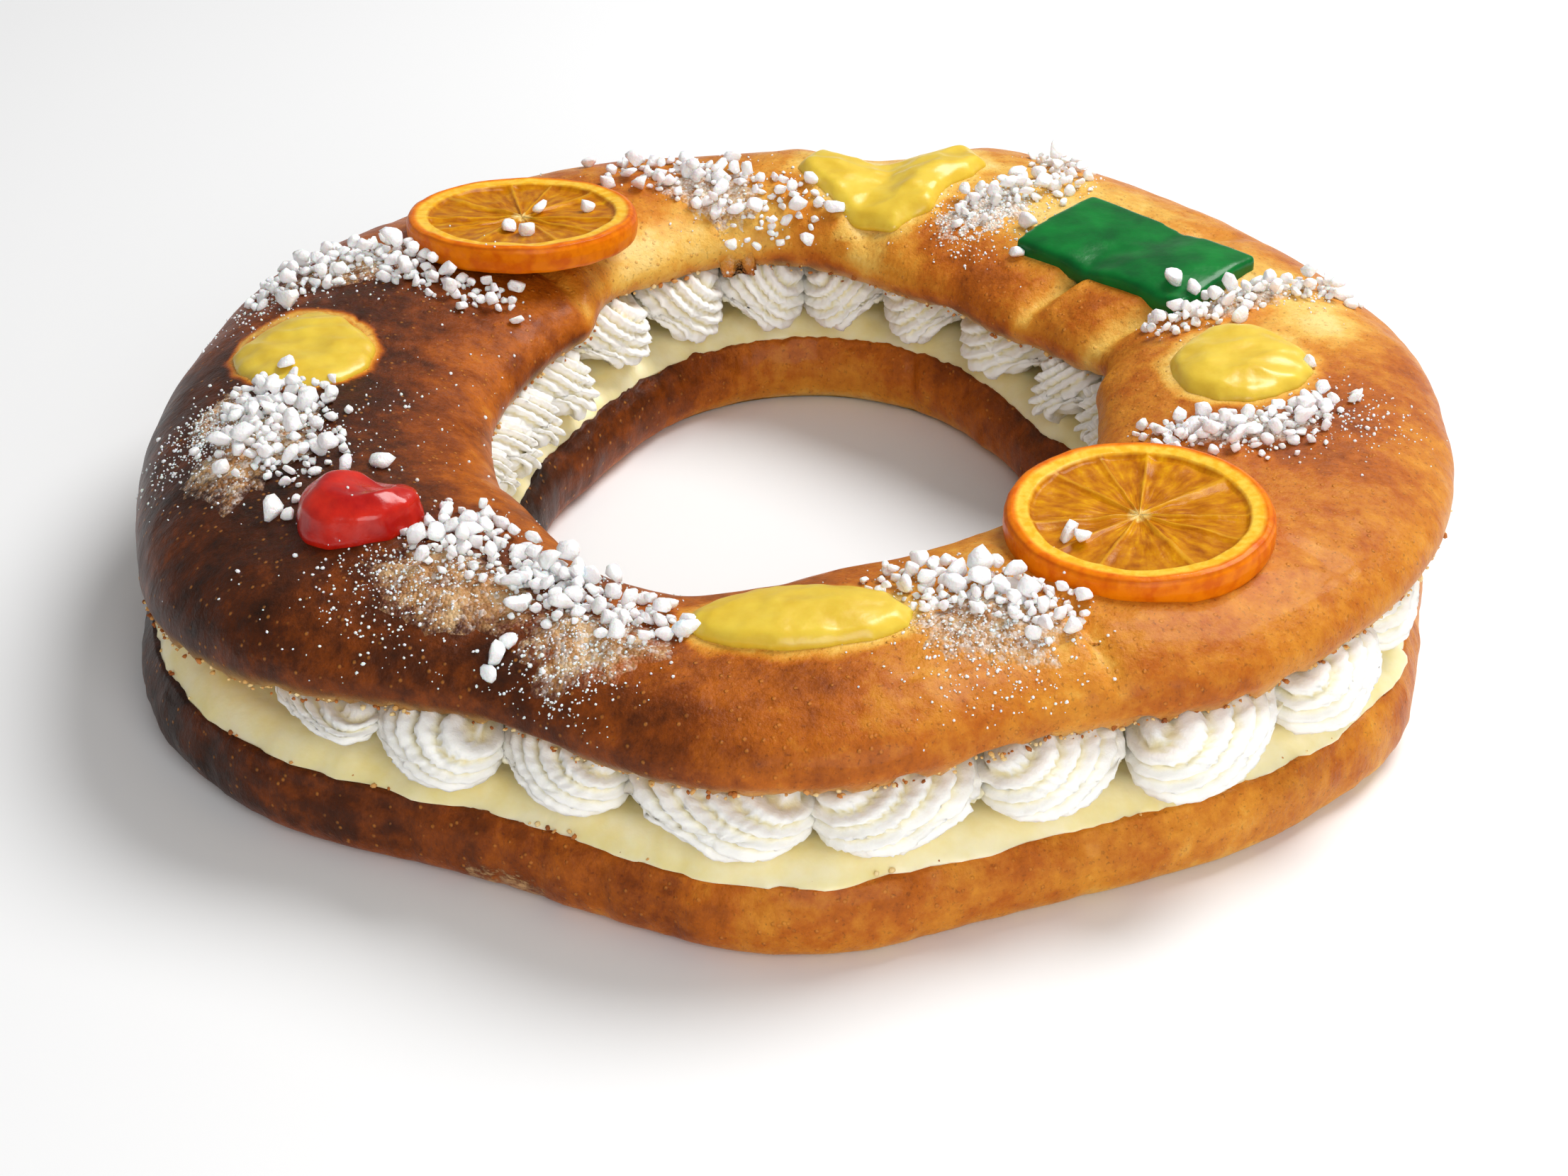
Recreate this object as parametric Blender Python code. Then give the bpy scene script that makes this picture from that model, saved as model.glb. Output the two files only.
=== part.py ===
"""Roscon de reyes: a filled festive ring cake, at rest on the flat underside of its lower half.

Units are metres and +Z is up. Angles round the ring are in degrees, anticlockwise seen from above, from
+X, so 270 is the front. The ring was cut level in two. The lower half carries a layer of pastry custard
and a row of piped whipped-cream ropes. The upper half is its lid, pressed down on one side, with the
candied fruit and the custard patches baked into its crust.
"""

from math import cos, log, pi, radians, sin, tan

import bmesh
import bpy
from mathutils import Vector

# ---- Driving sizes ----------------------------------------------------------------------------------------

GAP = 0.0004  # free air between two pieces that touch
RING_MIDDLE = 0.1250  # radius halfway between the hole and the outside
RING_SIDES = 52  # steps round the lower half and the custard

# A swell is (middle angle, reach to either side, amount): a smooth bump or dent of a radius or a height.
BASE_OUTER = 0.1665  # outer radius of the lower half at its cut rim
BASE_OUTER_SWELLS = ((208, 34, 0.013), (243, 24, -0.007), (268, 16, 0.003), (291, 22, -0.006),
                     (326, 18, 0.003), (352, 30, -0.005), (95, 38, -0.012), (165, 34, 0.004))
BASE_INNER = 0.0770  # radius of the hole at the cut rim of the lower half
BASE_INNER_SWELLS = ((88, 64, 0.023), (212, 40, 0.006), (247, 32, 0.018), (16, 16, 0.006))
BASE_HEIGHT = 0.0200  # the lower half's cut face
BASE_BELLY = 0.0040  # how far its side swells out below the rim
BASE_BELLY_HEIGHT = 0.0095  # where that is widest
BASE_TURN = (0.45, 0.0030)  # where the side turns under: share of the belly, and height
BASE_FOOT = 0.0090  # how far the flat underside stays inside the belly

CUSTARD_HEIGHT = 0.0255  # top of the custard layer
CUSTARD_SHORE = 0.0100  # how far in from the rim it reaches that height
CUSTARD_SHORE_TURN = 0.4  # where the shore bends, as a share of it
CUSTARD_EDGE = 0.0008  # its thickness right at the rim
CUSTARD_INSET = 0.0012  # bare rim outside it
CUSTARD_HEAP = (204, 24, 0.0085)  # the thick wedge of custard where the lid closes
CUSTARD_HEAP_FROM = 0.1350  # radius where that wedge starts
CUSTARD_HEAP_RAMP = 0.0200  # how far out from there it is full

LID_SIDES = 74  # steps round the lid
LID_STEPS = 10  # steps over the crust, from the inner to the outer rim
LID_CUT_SHARES = (1.0, 0.75, 0.5, 0.25, 0.0)  # points on the cut face, as shares of the way outwards
LID_OUTER = 0.1665  # outer radius of the upper half at its cut rim
LID_OUTER_SWELLS = ((206, 40, 0.0125), (242, 24, -0.012), (291, 20, -0.009), (338, 26, 0.003),
                    (94, 30, -0.016), (130, 30, -0.006), (38, 34, -0.005), (172, 24, 0.005))
LID_INNER = 0.0800  # radius of the hole there
LID_INNER_SWELLS = ((102, 42, 0.020), (127, 14, 0.006), (44, 16, -0.004), (16, 13, 0.007), (200, 46, 0.007),
                    (219, 28, 0.006), (247, 34, 0.022), (280, 56, 0.009))
LID_RIM_OUTER = 0.0455  # height of the lid's cut face at its outer rim
LID_RIM_OUTER_SWELLS = ((188, 40, -0.0180), (218, 26, -0.0045), (250, 34, -0.0035))
LID_RIM_INNER = 0.0450  # the same at the hole
LID_RIM_INNER_SWELLS = ((200, 60, -0.002),)
LID_CREST = 0.0655  # top of the loaf
LID_CREST_SWELLS = ((245, 28, -0.0040), (305, 30, 0.0015), (200, 40, -0.0010), (110, 40, -0.0020),
                    (38, 36, -0.0012))
LID_BELLY = 0.0022  # how far the crust swells past the cut rim
LID_BELLY_SHARE = 0.22  # where, as a share of the lid's height
LID_FULLNESS = 2.10  # 2 is an ellipse; more is squarer in the shoulder

# A crease is (angle at the inner rim, angle at the outer rim, reach at each, depth at each).
VALLEY = (78.0, 80.0, 5.0, 13.0, 0.0030, 0.0100)  # where the ends of the dough rope meet
CREASES = ((35.0, 33.0, 4.5, 2.0, 0.0030, 0.0), (19.0, 20.0, 5.0, 2.0, 0.0035, 0.0),
           (139.0, 139.0, 5.0, 2.0, 0.0025, 0.0))

# The piped ropes: how wide each is, in degrees of the ring, from the back round over the left side.
ROPE_WIDTHS = (12.0, 13.0, 15.5, 16.5, 16.5, 16.5, 10.5, 8.5, 8.5, 16.0, 13.5, 14.0, 19.0, 17.5, 15.5,
               16.5, 13.0, 12.0, 12.5, 16.5, 16.5, 15.5, 19.5, 13.0, 12.0)
ROPE_START = 90.0
ROPE_LEAN = 24.0  # the ropes were pulled toward the front, so they lean from the true radius by up to this
ROPE_SIDES = 12  # ridges and grooves of the star nozzle, as points round the rope
ROPE_GROOVE = 0.11  # depth of the grooves as a share of the rope's half width
ROPE_TWIST = 60.0  # how far the ridges turn from the hole to the outside
ROPE_REACH = 0.0035  # how far the ends swell out past the rims
ROPE_SHORT = ((204, 16, -0.030), (219, 22, -0.010))  # where the outer ends stay further back
ROPE_CLEAR = 0.0110  # a rope clears the highest custard within this distance
ROPE_LEAST = 0.0095  # a rope stops where the free height under the lid gets less than this
ROPE_RINGS = ((0.0012, 0.70), (0.0070, 0.98), (0.0280, 1.0))  # distance from either end, share of full size
ROPE_RING_MOST = 0.4  # no ring is further from its end than this share of the rope
ROPE_SQUARENESS = 3.0  # 2 is an ellipse; more fills the corners

POCKET_TOP = 0.0120  # how far the pockets' cutters stand above the crust

ORANGE_RADIUS = 0.0327
ORANGE_THICKNESS = 0.0085
ORANGE_SIDES = 24
ORANGE_BEVEL = 0.0016  # height of the rounding at the underside
ORANGE_SHOULDER = 0.0012  # the same at the top
ORANGE_FLESH_DROP = 0.0009  # the flesh is this much lower than the rind at its edge
ORANGE_MIDDLE_DROP = 0.0012  # and this much in the middle
ORANGE_POCKET_TOP = 0.0300

SLAB_COLUMNS = 7
SLAB_ROWS = 4

# A soft lump's loops, as (share of its outline, share of its thickness), from the widest to the top.
LUMP_LOOPS = ((1.0, 0.10), (0.88, 0.62), (0.55, 0.94))
LUMP_FOOT = (0.5, 0.94)  # shares of the outline under the crust
LUMP_SIDES = 14
LUMP_WAVE = 0.05  # unevenness of its outline
LUMP_DENT_AT = 0.6  # direction of its dent, in radians

# ---- Shape rules --------------------------------------------------------------------------------


def swell(angle, middle, reach):
    """1 at the middle angle, falling smoothly to 0 at the reach."""
    away = abs((angle - middle + 180.0) % 360.0 - 180.0)
    return 0.5 + 0.5 * cos(pi * away / reach) if away < reach else 0.0


def swollen(angle, plain, swells):
    return plain + sum(amount * swell(angle, middle, reach) for middle, reach, amount in swells)


def blend(first, second, share):
    return first + (second - first) * share


def place(angle, radius, height):
    return Vector((radius * cos(radians(angle)), radius * sin(radians(angle)), height))


def polar(x, y):
    flat = Vector((x, y))
    return flat.angle_signed(Vector((1.0, 0.0))) * 180.0 / pi, flat.length


def creased(angle, share, crease):
    """Depth of a crease at this angle and share of the way from the inner to the outer rim."""
    inner_angle, outer_angle, inner_reach, outer_reach, inner_depth, outer_depth = crease
    away = (angle - blend(inner_angle, outer_angle, share) + 180.0) % 360.0 - 180.0
    slack = max(0.0, 1.0 - abs(away) / blend(inner_reach, outer_reach, share))
    return blend(inner_depth, outer_depth, share) * slack * slack * (3.0 - 2.0 * slack)


def lid_underside(angle, radius):
    """Height of the lid's cut face, which slopes where the lid is pressed down."""
    inner = swollen(angle, LID_INNER, LID_INNER_SWELLS)
    outer = swollen(angle, LID_OUTER, LID_OUTER_SWELLS)
    share = min(1.0, max(0.0, (radius - inner) / (outer - inner)))
    low = swollen(angle, LID_RIM_OUTER, LID_RIM_OUTER_SWELLS)
    return blend(swollen(angle, LID_RIM_INNER, LID_RIM_INNER_SWELLS), low, share)


def crust_height(angle, radius):
    """Height of the lid's crust above a place."""
    inner = swollen(angle, LID_INNER, LID_INNER_SWELLS) - LID_BELLY
    outer = swollen(angle, LID_OUTER, LID_OUTER_SWELLS) + LID_BELLY
    share = min(1.0, max(0.0, (radius - inner) / (outer - inner)))
    crest = swollen(angle, LID_CREST, LID_CREST_SWELLS)
    belly = blend(lid_underside(angle, radius), crest, LID_BELLY_SHARE)
    round_off = max(0.0, 1.0 - abs(2.0 * share - 1.0) ** LID_FULLNESS) ** (1.0 / LID_FULLNESS)
    depth = sum(creased(angle, share, crease) for crease in (VALLEY,) + CREASES)
    return belly + (crest - belly) * round_off - depth * round_off


def custard_top(angle, radius):
    """Height of the custard layer: a thin shore at either rim, level between them, under the lid."""
    outer = swollen(angle, BASE_OUTER, BASE_OUTER_SWELLS) - CUSTARD_INSET
    inner = swollen(angle, BASE_INNER, BASE_INNER_SWELLS) + CUSTARD_INSET
    shore = min(1.0, max(0.0, min(outer - radius, radius - inner)) / CUSTARD_SHORE)
    middle, reach, amount = CUSTARD_HEAP
    ramp = min(1.0, max(0.0, (radius - CUSTARD_HEAP_FROM) / CUSTARD_HEAP_RAMP))
    heap = amount * swell(angle, middle, reach) * ramp
    level = CUSTARD_HEIGHT + heap - BASE_HEIGHT - GAP - CUSTARD_EDGE
    free = BASE_HEIGHT + GAP + CUSTARD_EDGE + level * sin(0.5 * pi * shore)
    return min(free, lid_underside(angle, radius) - 2.0 * GAP)


# ---- Mesh and material helpers ----------------------------------------------------------------------------


def material(name, colour, roughness):
    made = bpy.data.materials.new(name)
    made.use_nodes = True
    shader = made.node_tree.nodes["Principled BSDF"]
    shader.inputs["Base Color"].default_value = (*colour, 1.0)
    shader.inputs["Roughness"].default_value = roughness
    return made


def solid(name, mesh, look, smooth_below=40.0):
    """Turns a bmesh into an object of the cake."""
    bmesh.ops.recalc_face_normals(mesh, faces=mesh.faces[:])
    data = bpy.data.meshes.new(name)
    mesh.to_mesh(data)
    mesh.free()
    data.materials.append(look)
    data.shade_smooth()
    data.set_sharp_from_angle(angle=radians(smooth_below))
    made = bpy.data.objects.new(name, data)
    bpy.context.scene.collection.objects.link(made)
    made.parent = cake
    return made


def patch(mesh, one, two, three, four):
    """A four-sided face as two triangles, always split the same way, so that a pocket fits its piece."""
    mesh.faces.new((one, two, three))
    mesh.faces.new((one, three, four))


def skin(mesh, first, second):
    """Joins two loops of vertices, point by point."""
    for here in range(len(first)):
        after = (here + 1) % len(first)
        patch(mesh, first[here], first[after], second[after], second[here])


def cap(mesh, loop, tip):
    for here in range(len(loop)):
        mesh.faces.new((loop[here], loop[(here + 1) % len(loop)], tip))


def ring_solid(name, sections, look):
    """A closed ring: each section is a loop of points, and the last joins the first."""
    mesh = bmesh.new()
    loops = [[mesh.verts.new(point) for point in section] for section in sections]
    for here, loop in enumerate(loops):
        skin(mesh, loop, loops[(here + 1) % len(loops)])
    return solid(name, mesh, look)


def stacked_solid(name, bottom, loops, top, look):
    """A closed body: a bottom point, loops of points one above another, and a top point."""
    mesh = bmesh.new()
    rows = [[mesh.verts.new(point) for point in loop] for loop in loops]
    for lower, upper in zip(rows, rows[1:]):
        skin(mesh, lower, upper)
    cap(mesh, rows[0], mesh.verts.new(bottom))
    cap(mesh, rows[-1], mesh.verts.new(top))
    return solid(name, mesh, look)


# ---- The three rings: lower half, custard layer, lid ------------------------------------------------------


def base_section(angle):
    outer = swollen(angle, BASE_OUTER, BASE_OUTER_SWELLS)
    inner = swollen(angle, BASE_INNER, BASE_INNER_SWELLS)
    turn_share, turn_height = BASE_TURN
    side = ((0.0, BASE_HEIGHT), (BASE_BELLY, BASE_BELLY_HEIGHT), (turn_share * BASE_BELLY, turn_height),
            (BASE_BELLY - BASE_FOOT, 0.0))
    points = [place(angle, outer + out, height) for out, height in side]
    points += [place(angle, inner - out, height) for out, height in reversed(side)]
    return points


def custard_section(angle):
    outer = swollen(angle, BASE_OUTER, BASE_OUTER_SWELLS) - CUSTARD_INSET
    inner = swollen(angle, BASE_INNER, BASE_INNER_SWELLS) + CUSTARD_INSET
    floor = BASE_HEIGHT + GAP
    steps = (outer, outer - CUSTARD_SHORE_TURN * CUSTARD_SHORE, outer - CUSTARD_SHORE,
             0.5 * (inner + outer), inner + CUSTARD_SHORE, inner)
    points = [place(angle, radius, custard_top(angle, radius)) for radius in steps]
    return points + [place(angle, inner, floor), place(angle, outer, floor)]


def lid_section(angle):
    """Under the lid from the outer to the inner rim, then over the crust back to the outer rim."""
    inner = swollen(angle, LID_INNER, LID_INNER_SWELLS)
    outer = swollen(angle, LID_OUTER, LID_OUTER_SWELLS)
    points = []
    for share in LID_CUT_SHARES:
        radius = blend(inner, outer, share)
        points.append(place(angle, radius, lid_underside(angle, radius)))
    low, high = inner - LID_BELLY, outer + LID_BELLY
    for step in range(LID_STEPS + 1):
        radius = 0.5 * (low + high) - 0.5 * (high - low) * cos(pi * step / LID_STEPS)
        points.append(place(angle, radius, crust_height(angle, radius)))
    return points


for startup in list(bpy.data.objects):
    bpy.data.objects.remove(startup)
cake = bpy.data.objects.new("roscon", None)
bpy.context.scene.collection.objects.link(cake)

crust = material("crust", (0.33, 0.11, 0.03), 0.45)
custard = material("pastry_custard", (0.90, 0.78, 0.42), 0.40)
cream = material("whipped_cream", (0.93, 0.90, 0.78), 0.60)
piped_custard = material("custard_patch", (0.88, 0.62, 0.06), 0.35)
orange_peel = material("candied_orange", (0.85, 0.33, 0.01), 0.25)
green_jelly = material("candied_green", (0.01, 0.27, 0.06), 0.20)
red_fruit = material("candied_red", (0.60, 0.02, 0.01), 0.15)

ring_solid("bun_bottom", [base_section(360.0 * turn / RING_SIDES) for turn in range(RING_SIDES)], crust)
ring_solid("custard_layer", [custard_section(360.0 * turn / RING_SIDES) for turn in range(RING_SIDES)],
           custard)
lid = ring_solid("bun_top", [lid_section(360.0 * turn / LID_SIDES) for turn in range(LID_SIDES)], crust)

# ---- The whipped-cream ropes ------------------------------------------------------------------------------


def leaned(angle, radius):
    """Angle at this radius of a rope that crosses the middle of the ring at the given angle."""
    lean = tan(radians(ROPE_LEAN)) * sin(radians(2.0 * angle)) * log(radius / RING_MIDDLE)
    return angle + lean * 180.0 / pi


def rope_section(low, high, radius, thickness, turn):
    """A star-shaped loop, standing across the rope at this radius, between the custard and the lid."""
    low, high = leaned(low, radius), leaned(high, radius)
    middle, half = 0.5 * (low + high), 0.5 * (high - low) - GAP / radius * 180.0 / pi
    near = (radius - ROPE_CLEAR, radius, radius + ROPE_CLEAR)
    floor = max(custard_top(side, spot) for side in (low, middle, high) for spot in near) + GAP
    roof = min(lid_underside(side, radius) for side in (low, middle, high)) - 2.0 * GAP
    points = []
    for side in range(ROPE_SIDES):
        round_angle = 2.0 * pi * side / ROPE_SIDES
        flute = 1.0 - ROPE_GROOVE * (0.5 - 0.5 * cos(0.5 * ROPE_SIDES * (round_angle + turn)))
        across, up = cos(round_angle), sin(round_angle)
        squared = (abs(across) ** ROPE_SQUARENESS + abs(up) ** ROPE_SQUARENESS) ** (1.0 / ROPE_SQUARENESS)
        full = thickness * flute / squared
        height = 0.5 * (floor + roof) + 0.5 * (roof - floor) * up * full
        points.append(place(middle + half * across * full, radius, height))
    return points


def rope(number, low, high):
    middle = 0.5 * (low + high)
    inner = max(swollen(middle, LID_INNER, LID_INNER_SWELLS),
                swollen(middle, BASE_INNER, BASE_INNER_SWELLS)) - ROPE_REACH
    outer = min(swollen(middle, LID_OUTER, LID_OUTER_SWELLS),
                swollen(middle, BASE_OUTER, BASE_OUTER_SWELLS)) + swollen(middle, ROPE_REACH, ROPE_SHORT)
    while lid_underside(middle, outer) - custard_top(middle, outer) < ROPE_LEAST:
        outer -= 0.001
    rings = [(min(away, ROPE_RING_MOST * (outer - inner)), thick) for away, thick in ROPE_RINGS]
    stations = [(inner + away, thick) for away, thick in rings]
    stations += [(outer - away, thick) for away, thick in reversed(rings)]
    loops = []
    for radius, thickness in stations:
        turn = radians(ROPE_TWIST) * (radius - inner) / (outer - inner)
        loops.append(rope_section(low, high, radius, thickness, turn))
    ends = []
    for radius in (inner, outer):
        floor, roof = custard_top(middle, radius), lid_underside(middle, radius)
        ends.append(place(leaned(middle, radius), radius, 0.5 * (floor + roof)))
    stacked_solid(f"cream_rope_{number:02d}", ends[0], loops, ends[1], cream)


rope_edge = ROPE_START
rope_scale = 360.0 / sum(ROPE_WIDTHS)
for rope_number, rope_width in enumerate(ROPE_WIDTHS, 1):
    rope(rope_number, rope_edge, rope_edge + rope_width * rope_scale)
    rope_edge += rope_width * rope_scale

# ---- Fruit and custard pressed into the lid ---------------------------------------------------------------


def turned(centre, along, across, turn):
    """A place in the plane, given along and across a piece that is turned about its centre."""
    return (centre[0] + along * cos(radians(turn)) - across * sin(radians(turn)),
            centre[1] + along * sin(radians(turn)) + across * cos(radians(turn)))


def crust_at(x, y):
    return crust_height(*polar(x, y))


def pocket(cutter):
    """Cuts a pocket into the lid's crust, a gap wider than what lies in it."""
    cutter.hide_render = True
    cutter.display_type = "WIRE"
    cut = lid.modifiers.new(cutter.name, "BOOLEAN")
    cut.operation = "DIFFERENCE"
    cut.solver = "EXACT"
    cut.object = cutter


def soft_piece(name, centre, length, width, turn, thickness, sink, look, corner=0.0, dent=0.0):
    """A soft lump that follows the crust: oval, or three-cornered with a corner share, and domed on top."""

    def outline(share, grow, height):
        loop = []
        for side in range(LUMP_SIDES):
            way = 2.0 * pi * side / LUMP_SIDES
            reach = 1.0 + corner * cos(3.0 * way) + LUMP_WAVE * sin(2.0 * way + length * 900.0)
            along, across = 0.5 * length * reach * cos(way), 0.5 * width * reach * sin(way)
            x, y = turned(centre, along * share, across * share, turn)
            level = crust_at(x, y) + height * (1.0 - dent * max(0.0, cos(way - LUMP_DENT_AT)))
            loop.append(Vector((*turned((x, y), grow * cos(way), grow * sin(way), turn), level)))
        return loop

    middle = crust_at(*centre)
    inner_foot, outer_foot = LUMP_FOOT
    loops = [outline(inner_foot, 0.0, -sink), outline(outer_foot, 0.0, -sink)]
    loops += [outline(share, 0.0, height * thickness) for share, height in LUMP_LOOPS]
    stacked_solid(name, (*centre, middle - sink), loops, (*centre, middle + thickness * (1.0 - dent)), look)
    low = sink + 2.0 * GAP
    widest, widest_height = LUMP_LOOPS[0]
    cut = [outline(inner_foot, 0.0, -low), outline(outer_foot, 2.0 * GAP, -low),
           outline(widest, 2.0 * GAP, widest_height * thickness), outline(widest, 2.0 * GAP, POCKET_TOP)]
    top = (*centre, middle + 2.0 * POCKET_TOP)
    pocket(stacked_solid(f"{name}_pocket", (*centre, middle - low), cut, top, crust))


def orange_slice(name, centre, underside, lean_x, lean_y):
    """A candied slice: a flat disc with rounded rind and the flesh a little lower than the rind."""
    thick = ORANGE_THICKNESS
    profile = ((0.90, 0.0), (0.985, ORANGE_BEVEL), (1.0, 0.5 * thick), (0.985, thick - ORANGE_SHOULDER),
               (0.93, thick), (0.82, thick - ORANGE_FLESH_DROP))

    def disc(share, height, grow=0.0):
        loop = []
        for side in range(ORANGE_SIDES):
            way = 2.0 * pi * side / ORANGE_SIDES
            x = (ORANGE_RADIUS * share + grow) * cos(way)
            y = (ORANGE_RADIUS * share + grow) * sin(way)
            level = underside + height + lean_x * x + lean_y * y
            loop.append(Vector((centre[0] + x, centre[1] + y, level)))
        return loop

    loops = [disc(share, height) for share, height in profile]
    top = (*centre, underside + thick - ORANGE_MIDDLE_DROP)
    stacked_solid(name, (*centre, underside), loops, top, orange_peel)
    cut = [disc(0.985, -GAP, GAP), disc(1.0, ORANGE_BEVEL - GAP, GAP), disc(1.0, ORANGE_POCKET_TOP, GAP)]
    top = (*centre, underside + ORANGE_POCKET_TOP)
    pocket(stacked_solid(f"{name}_pocket", (*centre, underside - GAP), cut, top, crust))


def slab(name, centre, length, width, turn, thickness, sink, look):
    """A rectangular slab of candied fruit that drapes over the crust."""
    columns, rows = SLAB_COLUMNS, SLAB_ROWS

    def corner(column, row, grow, height):
        along, across = column / columns - 0.5, row / rows - 0.5
        x, y = turned(centre, length * along, width * across, turn)
        grown = turned((x, y), 2.0 * grow * along, 2.0 * grow * across, turn)
        return Vector((*grown, crust_at(x, y) + height))

    def sheet(grow, low, high):
        mesh = bmesh.new()
        layers = [[[mesh.verts.new(corner(column, row, grow, height)) for row in range(rows + 1)]
                   for column in range(columns + 1)] for height in (low, high)]
        for layer in layers:
            for column in range(columns):
                for row in range(rows):
                    patch(mesh, layer[column][row], layer[column + 1][row],
                          layer[column + 1][row + 1], layer[column][row + 1])
        edge = [(column, 0) for column in range(columns)] + [(columns, row) for row in range(rows)]
        edge += [(columns - column, rows) for column in range(columns)]
        edge += [(0, rows - row) for row in range(rows)]
        skin(mesh, [layers[0][column][row] for column, row in edge],
             [layers[1][column][row] for column, row in edge])
        return mesh

    solid(name, sheet(0.0, -sink, thickness), look)
    pocket(solid(f"{name}_pocket", sheet(2.0 * GAP, -sink - 2.0 * GAP, POCKET_TOP), look))


orange_slice("orange_slice_front", (0.079, -0.089), 0.0635, 0.02, 0.02)
orange_slice("orange_slice_back", (-0.080, 0.078), 0.0640, 0.00, -0.12)
slab("candied_green", (0.093, 0.063), 0.058, 0.033, -44.0, 0.0040, 0.0015, green_jelly)
soft_piece("candied_red", (-0.109, -0.079), 0.033, 0.026, 20.0, 0.0110, 0.0025, red_fruit, dent=0.20)
soft_piece("custard_patch_left", (-0.134, 0.009), 0.038, 0.044, 0.0, 0.0022, 0.0015, piped_custard)
soft_piece("custard_patch_front", (-0.003, -0.126), 0.052, 0.026, 2.0, 0.0040, 0.0015, piped_custard)
soft_piece("custard_patch_right", (0.114, -0.004), 0.036, 0.042, 10.0, 0.0045, 0.0015, piped_custard)
soft_piece("custard_patch_back", (0.026, 0.117), 0.046, 0.050, -90.0, 0.0050, 0.0015, piped_custard,
           corner=0.22)

# ---- Origin in the middle of the footprint ----------------------------------------------------------------

bpy.context.view_layer.update()
shown = [piece for piece in bpy.data.objects if piece.type == "MESH" and not piece.hide_render]
corners = [Vector(corner) for piece in shown for corner in piece.bound_box]
cake.location = (-0.5 * (min(point.x for point in corners) + max(point.x for point in corners)),
                 -0.5 * (min(point.y for point in corners) + max(point.y for point in corners)), 0.0)
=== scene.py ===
"""Filled roscon de reyes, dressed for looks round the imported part. Metres, +Z up, the cake stands on z = 0.

Angles round the ring are in degrees, anticlockwise from above, from +X, so 270 is the front.
"""

from math import cos, pi, radians, sin

import bpy
import numpy as np
from mathutils import Matrix, Vector, noise
from mathutils.bvhtree import BVHTree


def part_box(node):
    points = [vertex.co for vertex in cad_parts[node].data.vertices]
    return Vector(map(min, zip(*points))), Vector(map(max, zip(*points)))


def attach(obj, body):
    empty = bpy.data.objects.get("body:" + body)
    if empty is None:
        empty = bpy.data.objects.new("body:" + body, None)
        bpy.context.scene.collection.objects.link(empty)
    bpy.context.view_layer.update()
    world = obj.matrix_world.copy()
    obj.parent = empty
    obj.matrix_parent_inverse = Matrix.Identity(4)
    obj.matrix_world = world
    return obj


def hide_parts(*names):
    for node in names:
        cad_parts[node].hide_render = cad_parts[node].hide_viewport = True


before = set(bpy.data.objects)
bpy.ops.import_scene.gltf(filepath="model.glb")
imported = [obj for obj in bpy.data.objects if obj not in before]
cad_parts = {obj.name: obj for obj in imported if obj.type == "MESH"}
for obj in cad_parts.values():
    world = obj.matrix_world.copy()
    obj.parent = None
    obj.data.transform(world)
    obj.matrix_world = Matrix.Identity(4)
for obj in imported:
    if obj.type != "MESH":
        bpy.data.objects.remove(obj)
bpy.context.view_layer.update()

# ---- Lower half of the bread -------------------------------------------------
# The bottom half of a sweet bread ring, cut level from its lid. The side is baked crust, darkest at the
# left where the oven was hottest and golden at the right, and the cut face is pale crumb.

RING_CENTRE = Vector((0.00355, 0.00564, 0.0))
RING_MIDDLE = 0.125
RING_CUTS = 2
BASE_OUTER = (0.1665, (
    (208, 34, 0.013), (243, 24, -0.007), (268, 16, 0.003), (291, 22, -0.006), (326, 18, 0.003),
    (352, 30, -0.005), (95, 38, -0.012), (165, 34, 0.004),
))
BASE_INNER = (0.077, ((88, 64, 0.023), (212, 40, 0.006), (247, 32, 0.018), (16, 16, 0.006)))
BASE_HEIGHT = 0.02
BASE_BELLY = 0.004
BASE_BELLY_HEIGHT = 0.0095
BASE_FOOT = 0.009
BASE_ROUNDNESS = 2.6
BASE_BELLY_SHARE = 0.45
BASE_SIDE_END = 0.4  # steps round the section, 0 to 1: outer side, cut face, hole's side, underside
BASE_CUT_END = 0.48
BASE_HOLE_END = 0.88
BASE_BAKE = (0.52, ((200, 78, 0.44), (120, 50, 0.16), (310, 70, -0.08), (350, 40, -0.04)))
BASE_BAKE_HOLE = (0.06, ((90, 60, -0.3), (170, 60, -0.1)))
BASE_CREASES = (
    (234, 1.4, 0.0012), (243, 1.0, 0.0015), (246.5, 0.9, 0.0012), (250, 2.2, -0.001), (253, 1.0, 0.0014),
    (259, 0.9, 0.001), (279, 0.8, 0.0014), (293, 1.1, 0.0018), (214, 2.0, 0.001), (322, 1.4, 0.001),
    (340, 1.2, 0.0008), (70, 1.6, 0.0014), (118, 1.5, 0.0012), (101, 1.2, 0.001),
)
BASE_SCUFFS = ((245, 8, 1.25), (240, 4, 0.7), (272, 3, 0.8), (293, 2, 0.8), (318, 4, 0.45), (222, 4, 0.6))


def off_by(angle, middle):
    """How far an angle is from the middle one, from -180 to 180."""
    return (angle - middle + 180.0) % 360.0 - 180.0


def swollen(angle, plain, swells):
    """A radius, height or colour round the ring: plain, with smooth swells (middle, reach, amount)."""
    total = np.full_like(angle, plain)
    for middle, reach, amount in swells:
        away = np.abs(off_by(angle, middle))
        total += np.where(away < reach, amount * (0.5 + 0.5 * np.cos(np.pi * away / reach)), 0.0)
    return total


def held(value):
    """The value, held between 0 and 1."""
    return np.clip(value, 0.0, 1.0)


def blend(first, second, share):
    return first + (second - first) * share


def corners_of(piece):
    flat = np.empty(3 * len(piece.data.vertices))
    piece.data.vertices.foreach_get("co", flat)
    return flat.reshape(-1, 3)


def set_corners(piece, places):
    piece.data.vertices.foreach_set("co", np.ravel(places))
    piece.data.update()


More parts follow.
